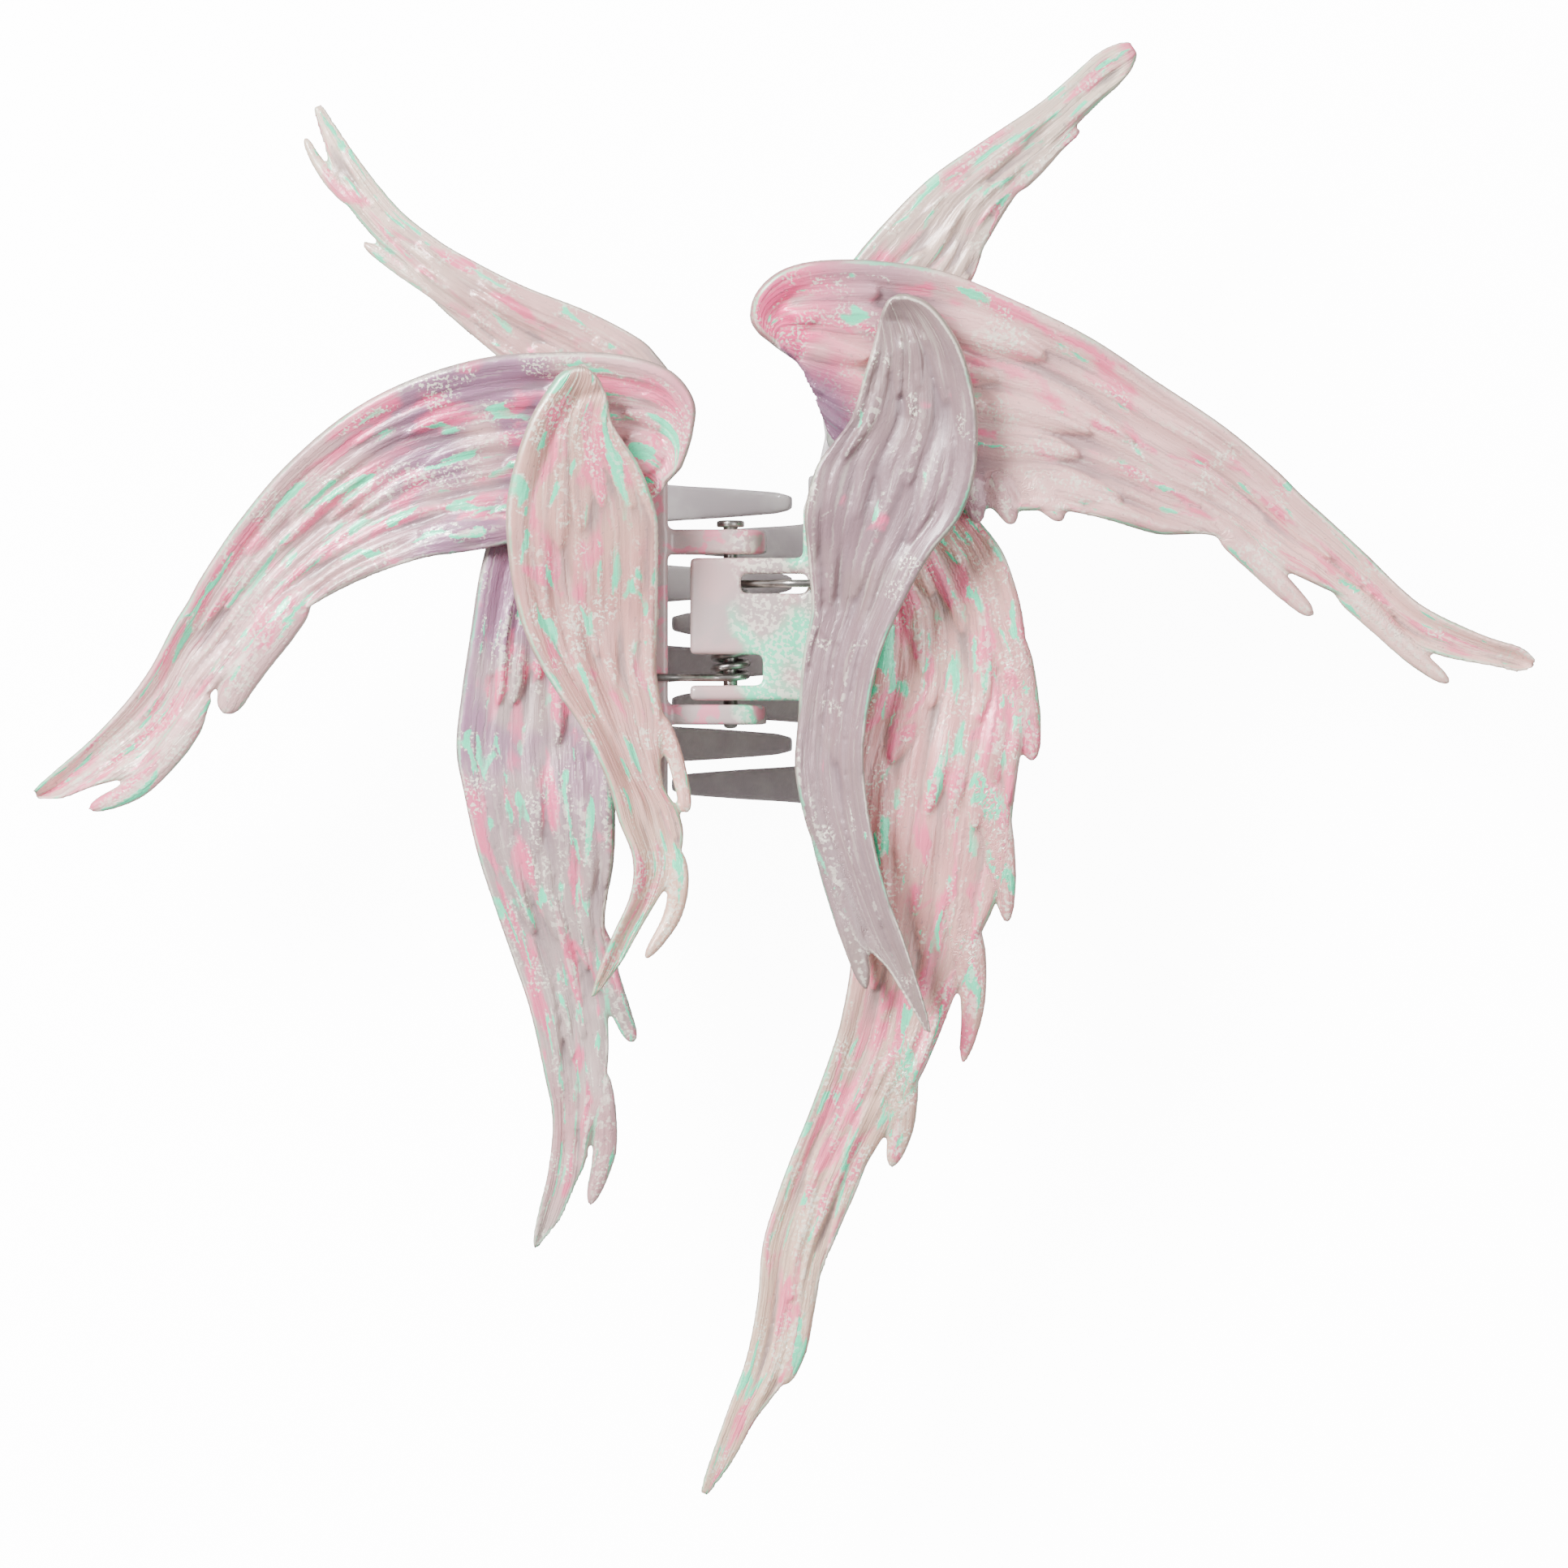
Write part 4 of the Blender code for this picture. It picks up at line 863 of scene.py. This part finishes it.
# The pearl by the hinge and the greyer mauve below are lit and shaded looks of one plastic, painted as
# two colours.
JAW_PEARL = (0.48, 0.37, 0.365)
JAW_ROSE = (0.58, 0.38, 0.38)
JAW_SHADE_MAUVE = (0.55, 0.49, 0.51)
JAW_SHADE_WARM_MAUVE = (0.65, 0.61, 0.60)


def lit_top_mask(shading, height, depth):
    """1 where the lit pearl is painted, on the plates beside the hinge; 0 down the jaws and out along
    them.
    """
    high = shading.ramp(height, HINGE[2] - 9 * MM, HINGE[2] - 3 * MM)
    from_hinge = shading.math("ABSOLUTE", shading.math("SUBTRACT", depth, float(HINGE[1])))
    return shading.times(high, shading.ramp(from_hinge, 17 * MM, 13 * MM))


def glitter_band(shading, sideways, start, end):
    """1 between two distances from the hinge (mm), with wandering borders."""
    wander = shading.math("SUBTRACT", shading.noise(shading.place(), 240.0, 3.0), 0.5)
    sideways = shading.math("ADD", sideways, shading.times(wander, 8 * MM))
    sideways = shading.math("SUBTRACT", sideways, float(HINGE[0]))
    return shading.times(shading.ramp(sideways, start * MM, (start + 2) * MM),
                         shading.ramp(sideways, (end + 1) * MM, end * MM))


def jaw_material(name, glitter_from, glitter_to, blush):
    """Pearl plastic by the hinge, with glitter and mint over part of its top; mauve painted shade
    elsewhere.
    """
    shading = Shading(name)
    place = shading.place()
    axes = shading.node("ShaderNodeSeparateXYZ")
    shading.put(axes.inputs[0], place)
    sideways, depth, height = axes.outputs
    patches = shading.noise(place, 160.0, 3.0, 0.6)
    lit_pearl = shading.mix(shading.ramp(patches, 0.42, 0.62), JAW_PEARL, JAW_ROSE)
    # Pink flashes on the lugs and mint in the glitter band, partly painted iridescent sheen.
    pink = shading.ramp(shading.noise(place, 420.0, 3.0, 0.8), 0.50, 0.60)
    on_lugs = shading.ramp(height, HINGE[2] + 0.3 * MM, HINGE[2] + 1.5 * MM)
    lit_pearl = shading.mix(shading.times(pink, on_lugs, blush), lit_pearl, HOT_PINK_SHEEN)
    band = glitter_band(shading, sideways, glitter_from, glitter_to)
    mint = shading.ramp(shading.noise(place, 130.0, 2.0, 0.3), 0.42, 0.58)
    lit_pearl = shading.mix(shading.times(band, mint, 0.8), lit_pearl, MINT_SHEEN)
    # Glitter flecks painted as cream glints.
    flecks = shading.ramp(shading.noise(place, 2300.0, 1.0), 0.48, 0.56)
    lit_pearl = shading.mix(shading.times(flecks, band, 0.6), lit_pearl, CREAM_HIGHLIGHT)
    # Painted shade: the greyer mauve down the jaws and teeth, out of the light.
    shaded_mauve = shading.mix(shading.ramp(patches, 0.35, 0.7), JAW_SHADE_MAUVE, JAW_SHADE_WARM_MAUVE)
    shading.set("Base Color", shading.mix(lit_top_mask(shading, height, depth), shaded_mauve, lit_pearl))
    shading.set("Roughness", 0.30)
    shading.set("Coat Weight", 0.4)
    shading.set("Normal", shading.bump(shading.noise(place, 1300.0), 0.3, 0.00005))
    return shading.material


def steel_material(name, colour, roughness):
    """Drawn or turned steel with fine scratches and slight tarnish."""
    shading = Shading(name)
    place = shading.place()
    tarnish = shading.noise(place, 420.0, 4.0)
    tarnished = tuple(0.45 * part for part in colour)
    shading.set("Base Color", shading.mix(shading.ramp(tarnish, 0.4, 0.7), colour, tarnished))
    shading.set("Metallic", 1.0)
    shading.set("Roughness", shading.math("ADD", roughness, shading.times(tarnish, 0.2)))
    shading.set("Normal", shading.bump(shading.noise(place, 3000.0, 3.0), 0.3, 0.00003))
    return shading.material


# ---- Jaws, pin, screws and spring ----
JAW_VOXEL = 0.3
JAW_SMOOTHING = 7


def make_jaw(node_name, body, material):
    """A moulded jaw: the CAD shell with every edge softly rounded."""
    piece = add_object(node_name + "_moulded", frame["nodes"][node_name].data.copy())
    piece.data.materials.clear()
    builder = bmesh.new()
    builder.from_mesh(piece.data)
    bmesh.ops.remove_doubles(builder, verts=builder.verts, dist=1e-6)
    builder.to_mesh(piece.data)
    builder.free()
    fuse(piece, JAW_VOXEL, JAW_SMOOTHING)
    piece.data.materials.append(material)
    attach(piece, body)
    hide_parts(node_name)


def turned_mesh(name, profile, segments):
    """Sweep (radius, height) points, top to bottom, around Z into a closed mesh."""
    builder = bmesh.new()
    angles = [2 * math.pi * step / segments for step in range(segments)]
    rings = []
    for radius, height in profile:
        rings.append([builder.verts.new((radius * math.cos(angle) * MM, radius * math.sin(angle) * MM,
                                         height * MM)) for angle in angles])
    for upper, lower in zip(rings, rings[1:]):
        for step in range(segments):
            following = (step + 1) % segments
            builder.faces.new((upper[step], lower[step], lower[following], upper[following]))
    builder.faces.new(rings[0])
    builder.faces.new(reversed(rings[-1]))
    mesh = built_mesh(name, builder)
    mesh.shade_smooth()
    mesh.set_sharp_from_angle(angle=math.radians(40))
    return mesh


PIN_SEGMENTS = 40
SCREW_SEGMENTS = 32
THREAD_PITCH = 0.4
THREAD_CREST = 0.8
THREAD_ROOT = 0.62
THREAD_END = 1.6
SCREW_HEAD = [
    (0.62, 1.32), (1.5, 1.3), (1.6, 1.2), (1.6, 0.62), (1.45, 0.3), (1.1, 0.1), (0.7, 0.02), (0.1, 0.0),
]
RECESS_SIZE = (1.9 * MM, 0.45 * MM, 1.0 * MM)


def make_pin(material):
    """The hinge pin, with a chamfered head and a riveted tail."""
    low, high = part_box("hinge_pin")
    tail, top = (low[1] - HINGE[1]) / MM, (high[1] - HINGE[1]) / MM
    profile = [
        (0.7, top), (1.15, top), (1.38, top - 0.08), (1.45, top - 0.22), (1.45, top - 0.6),
        (1.38, top - 0.7), (0.78, top - 0.72), (0.75, top - 0.9), (0.75, tail + 0.4),
        (0.66, tail + 0.18), (0.42, tail + 0.04), (0.1, tail),
    ]
    pin = add_object("hinge_pin_turned", turned_mesh("hinge_pin_turned", profile, PIN_SEGMENTS))
    pin.location = HINGE
    pin.rotation_euler = (-math.pi / 2, 0.0, 0.0)
    pin.data.materials.append(material)
    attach(pin, LEFT_BODY)
    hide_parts("hinge_pin")


def screw_profile(length):
    """(radius, height) points of a screw, from its tip along the thread to its pan head."""
    profile = [(0.08, length), (0.5, length - 0.45)]
    height = length - 0.6
    while height > THREAD_END:
        profile += [(THREAD_CREST, height), (THREAD_ROOT, height - 0.22)]
        height -= THREAD_PITCH
    return profile + SCREW_HEAD


def cut_slot(screw, turn):
    """Cut one of the two crossing slots of the screw's recess."""
    builder = bmesh.new()
    bmesh.ops.create_cube(builder, size=1.0)
    bmesh.ops.scale(builder, vec=RECESS_SIZE, verts=builder.verts)
    cutter = add_object("recess", built_mesh("recess", builder))
    cutter.location = screw.location
    cutter.rotation_euler = (0.0, 0.0, turn)
    cut = screw.modifiers.new("recess", "BOOLEAN")
    cut.operation = "DIFFERENCE"
    cut.object = cutter
    bpy.context.view_layer.update()
    apply_modifiers(screw)
    bpy.data.objects.remove(cutter, do_unlink=True)


def make_screw(node_name, body, material):
    """A pan-head screw with a threaded shank and a cross recess in its head."""
    low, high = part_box(node_name)
    profile = screw_profile((high[2] - low[2]) / MM)
    screw = add_object(node_name + "_turned", turned_mesh(node_name + "_turned", profile, SCREW_SEGMENTS))
    screw.location = ((low[0] + high[0]) / 2, (low[1] + high[1]) / 2, low[2])
    cut_slot(screw, 0.0)
    cut_slot(screw, math.pi / 2)
    screw.data.materials.clear()
    screw.data.materials.append(material)
    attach(screw, body)
    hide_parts(node_name)


WIRE_RADIUS = 0.4
COIL_RADIUS = 1.7
COIL_TURNS = 8
COIL_Y = (4.2, -5.6)
ARM_FOOT_Z = 5.0
POINTS_PER_TURN = 28
BEND_REACH = 0.8
BEND_STEPS = 6
RIGHT_ARM_XZ = [(9.2, ARM_FOOT_Z), (6.2, ARM_FOOT_Z), (3.9, 3.35), (1.6, COIL_RADIUS)]
LEFT_ARM_XZ = [(-1.6, COIL_RADIUS), (-3.75, 3.35), (-5.9, ARM_FOOT_Z), (-8.0, ARM_FOOT_Z)]


def bend_point(corner, towards):
    """Where a corner's bend starts on the straight towards a neighbour."""
    straight = towards - corner
    return corner + straight * min(0.4, BEND_REACH / np.linalg.norm(straight))


def rounded_run(corners, y):
    """An arm's corners with each bend rounded, as points."""
    corners = [np.array((x, y, z)) for x, z in corners]
    points = [corners[0]]
    for before, corner, after in zip(corners, corners[1:], corners[2:]):
        start, end = bend_point(corner, before), bend_point(corner, after)
        for step in range(BEND_STEPS + 1):
            t = step / BEND_STEPS
            points.append((1 - t) ** 2 * start + 2 * t * (1 - t) * corner + t**2 * end)
    points.append(corners[-1])
    return points


def spring_route():
    """The wire's middle line from the right foot, round the pin, to the left foot."""
    top = (0.0, COIL_RADIUS)
    points = rounded_run(RIGHT_ARM_XZ + [top], COIL_Y[0])[:-1]
    steps = COIL_TURNS * POINTS_PER_TURN
    for step in range(steps + 1):
        angle = math.pi / 2 + 2 * math.pi * step / POINTS_PER_TURN
        y = COIL_Y[0] + (COIL_Y[1] - COIL_Y[0]) * step / steps
        points.append(np.array((COIL_RADIUS * math.cos(angle), y, COIL_RADIUS * math.sin(angle))))
    points += rounded_run([top] + LEFT_ARM_XZ, COIL_Y[1])[1:]
    return points


def wire_mesh(name, route):
    """A round wire with flat ends along a route."""
    curve = bpy.data.curves.new(name, "CURVE")
    curve.dimensions = "3D"
    curve.bevel_depth = WIRE_RADIUS * MM
    curve.bevel_resolution = 5
    curve.use_fill_caps = True
    spline = curve.splines.new("POLY")
    spline.points.add(len(route) - 1)
    for target, point in zip(spline.points, route):
        target.co = (*point, 1.0)
    holder = add_object("wire_holder", curve)
    mesh = evaluated_mesh(holder)
    bpy.data.objects.remove(holder, do_unlink=True)
    mesh.shade_smooth()
    return mesh


def make_spring(material):
    """The torsion spring, coiled round the pin."""
    spring = add_object("torsion_spring_wire", wire_mesh("torsion_spring_wire", to_world(spring_route())))
    spring.data.materials.clear()
    spring.data.materials.append(material)
    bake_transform(spring)
    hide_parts("torsion_spring")


# ---- Stage, light and camera ----
FLOOR_HALF = 1.5
FLOOR_GAP = 0.0001
FLOOR_GLOW = 12.0
WORLD_GLOW = 0.45
WHITE = (1, 1, 1, 1)
LIGHTS = [
    ("key", (-0.55, 0.42, 0.72), 0.36, 28.0),
    ("fill", (0.55, 0.05, 0.75), 0.5, 4.0),
]
CAMERA_HEIGHT = 1.0
PHOTO_WIDTH = 0.1642
PHOTO_MIDDLE = (5.6, -16.7, 0)
SENSOR = 36.0


def make_floor():
    """A plain white sweep under the claw."""
    mesh = bpy.data.meshes.new("floor")
    corners = [(x * FLOOR_HALF, y * FLOOR_HALF, 0) for x, y in ((-1, -1), (1, -1), (1, 1), (-1, 1))]
    mesh.from_pydata(corners, [], [(0, 1, 2, 3)])
    floor = add_object("floor", mesh)
    floor.location = (0, 0, CAD_LOW[2] - FLOOR_GAP)
    shading = Shading("white_sweep")
    shading.set("Base Color", (0.95, 0.95, 0.95, 1))
    shading.set("Roughness", 0.9)
    shading.set("Specular IOR Level", 0.0)
    shading.set("Emission Color", WHITE)
    shading.set("Emission Strength", FLOOR_GLOW)
    mesh.materials.append(shading.material)
    floor.visible_diffuse = False
    floor.visible_glossy = False


def make_light(name, place, size, power):
    """A square soft box that faces the claw."""
    data = bpy.data.lights.new(name, "AREA")
    data.size = size
    data.energy = power
    light = add_object(name, data)
    light.location = place
    light.rotation_euler = Vector(place).to_track_quat("Z", "Y").to_euler()


def make_world():
    """An even white studio."""
    world = bpy.data.worlds.new("studio")
    world.use_nodes = True
    background = world.node_tree.nodes["Background"]
    background.inputs["Color"].default_value = WHITE
    background.inputs["Strength"].default_value = WORLD_GLOW
    bpy.context.scene.world = world


def make_camera():
    """Straight down, centred on the claw's footprint."""
    data = bpy.data.cameras.new("camera")
    data.sensor_width = SENSOR
    data.lens = SENSOR * (CAMERA_HEIGHT - HINGE[2]) / PHOTO_WIDTH
    data.clip_start = 0.05
    camera = add_object("camera", data)
    middle = to_world(PHOTO_MIDDLE)
    camera.location = (middle[0], middle[1], CAMERA_HEIGHT)
    bpy.context.scene.camera = camera


def main():
    """Build every piece and the stage."""
    steel = steel_material("dark_spring_steel", (0.42, 0.40, 0.38), 0.22)
    zinc = steel_material("zinc_screw", (0.62, 0.61, 0.58), 0.28)
    make_jaw("left_jaw", LEFT_BODY, jaw_material("left_jaw_plastic", -1.5, 1.5, 0.45))
    make_jaw("right_jaw", RIGHT_BODY, jaw_material("right_jaw_plastic", -0.5, 30.0, 0.0))
    make_pin(steel)
    make_spring(steel)
    for name, wing in WINGS.items():
        make_wing(name, wing)
        make_screw(name + "_screw", wing["body"], zinc)
    make_floor()
    make_world()
    for light in LIGHTS:
        make_light(*light)
    make_camera()


main()
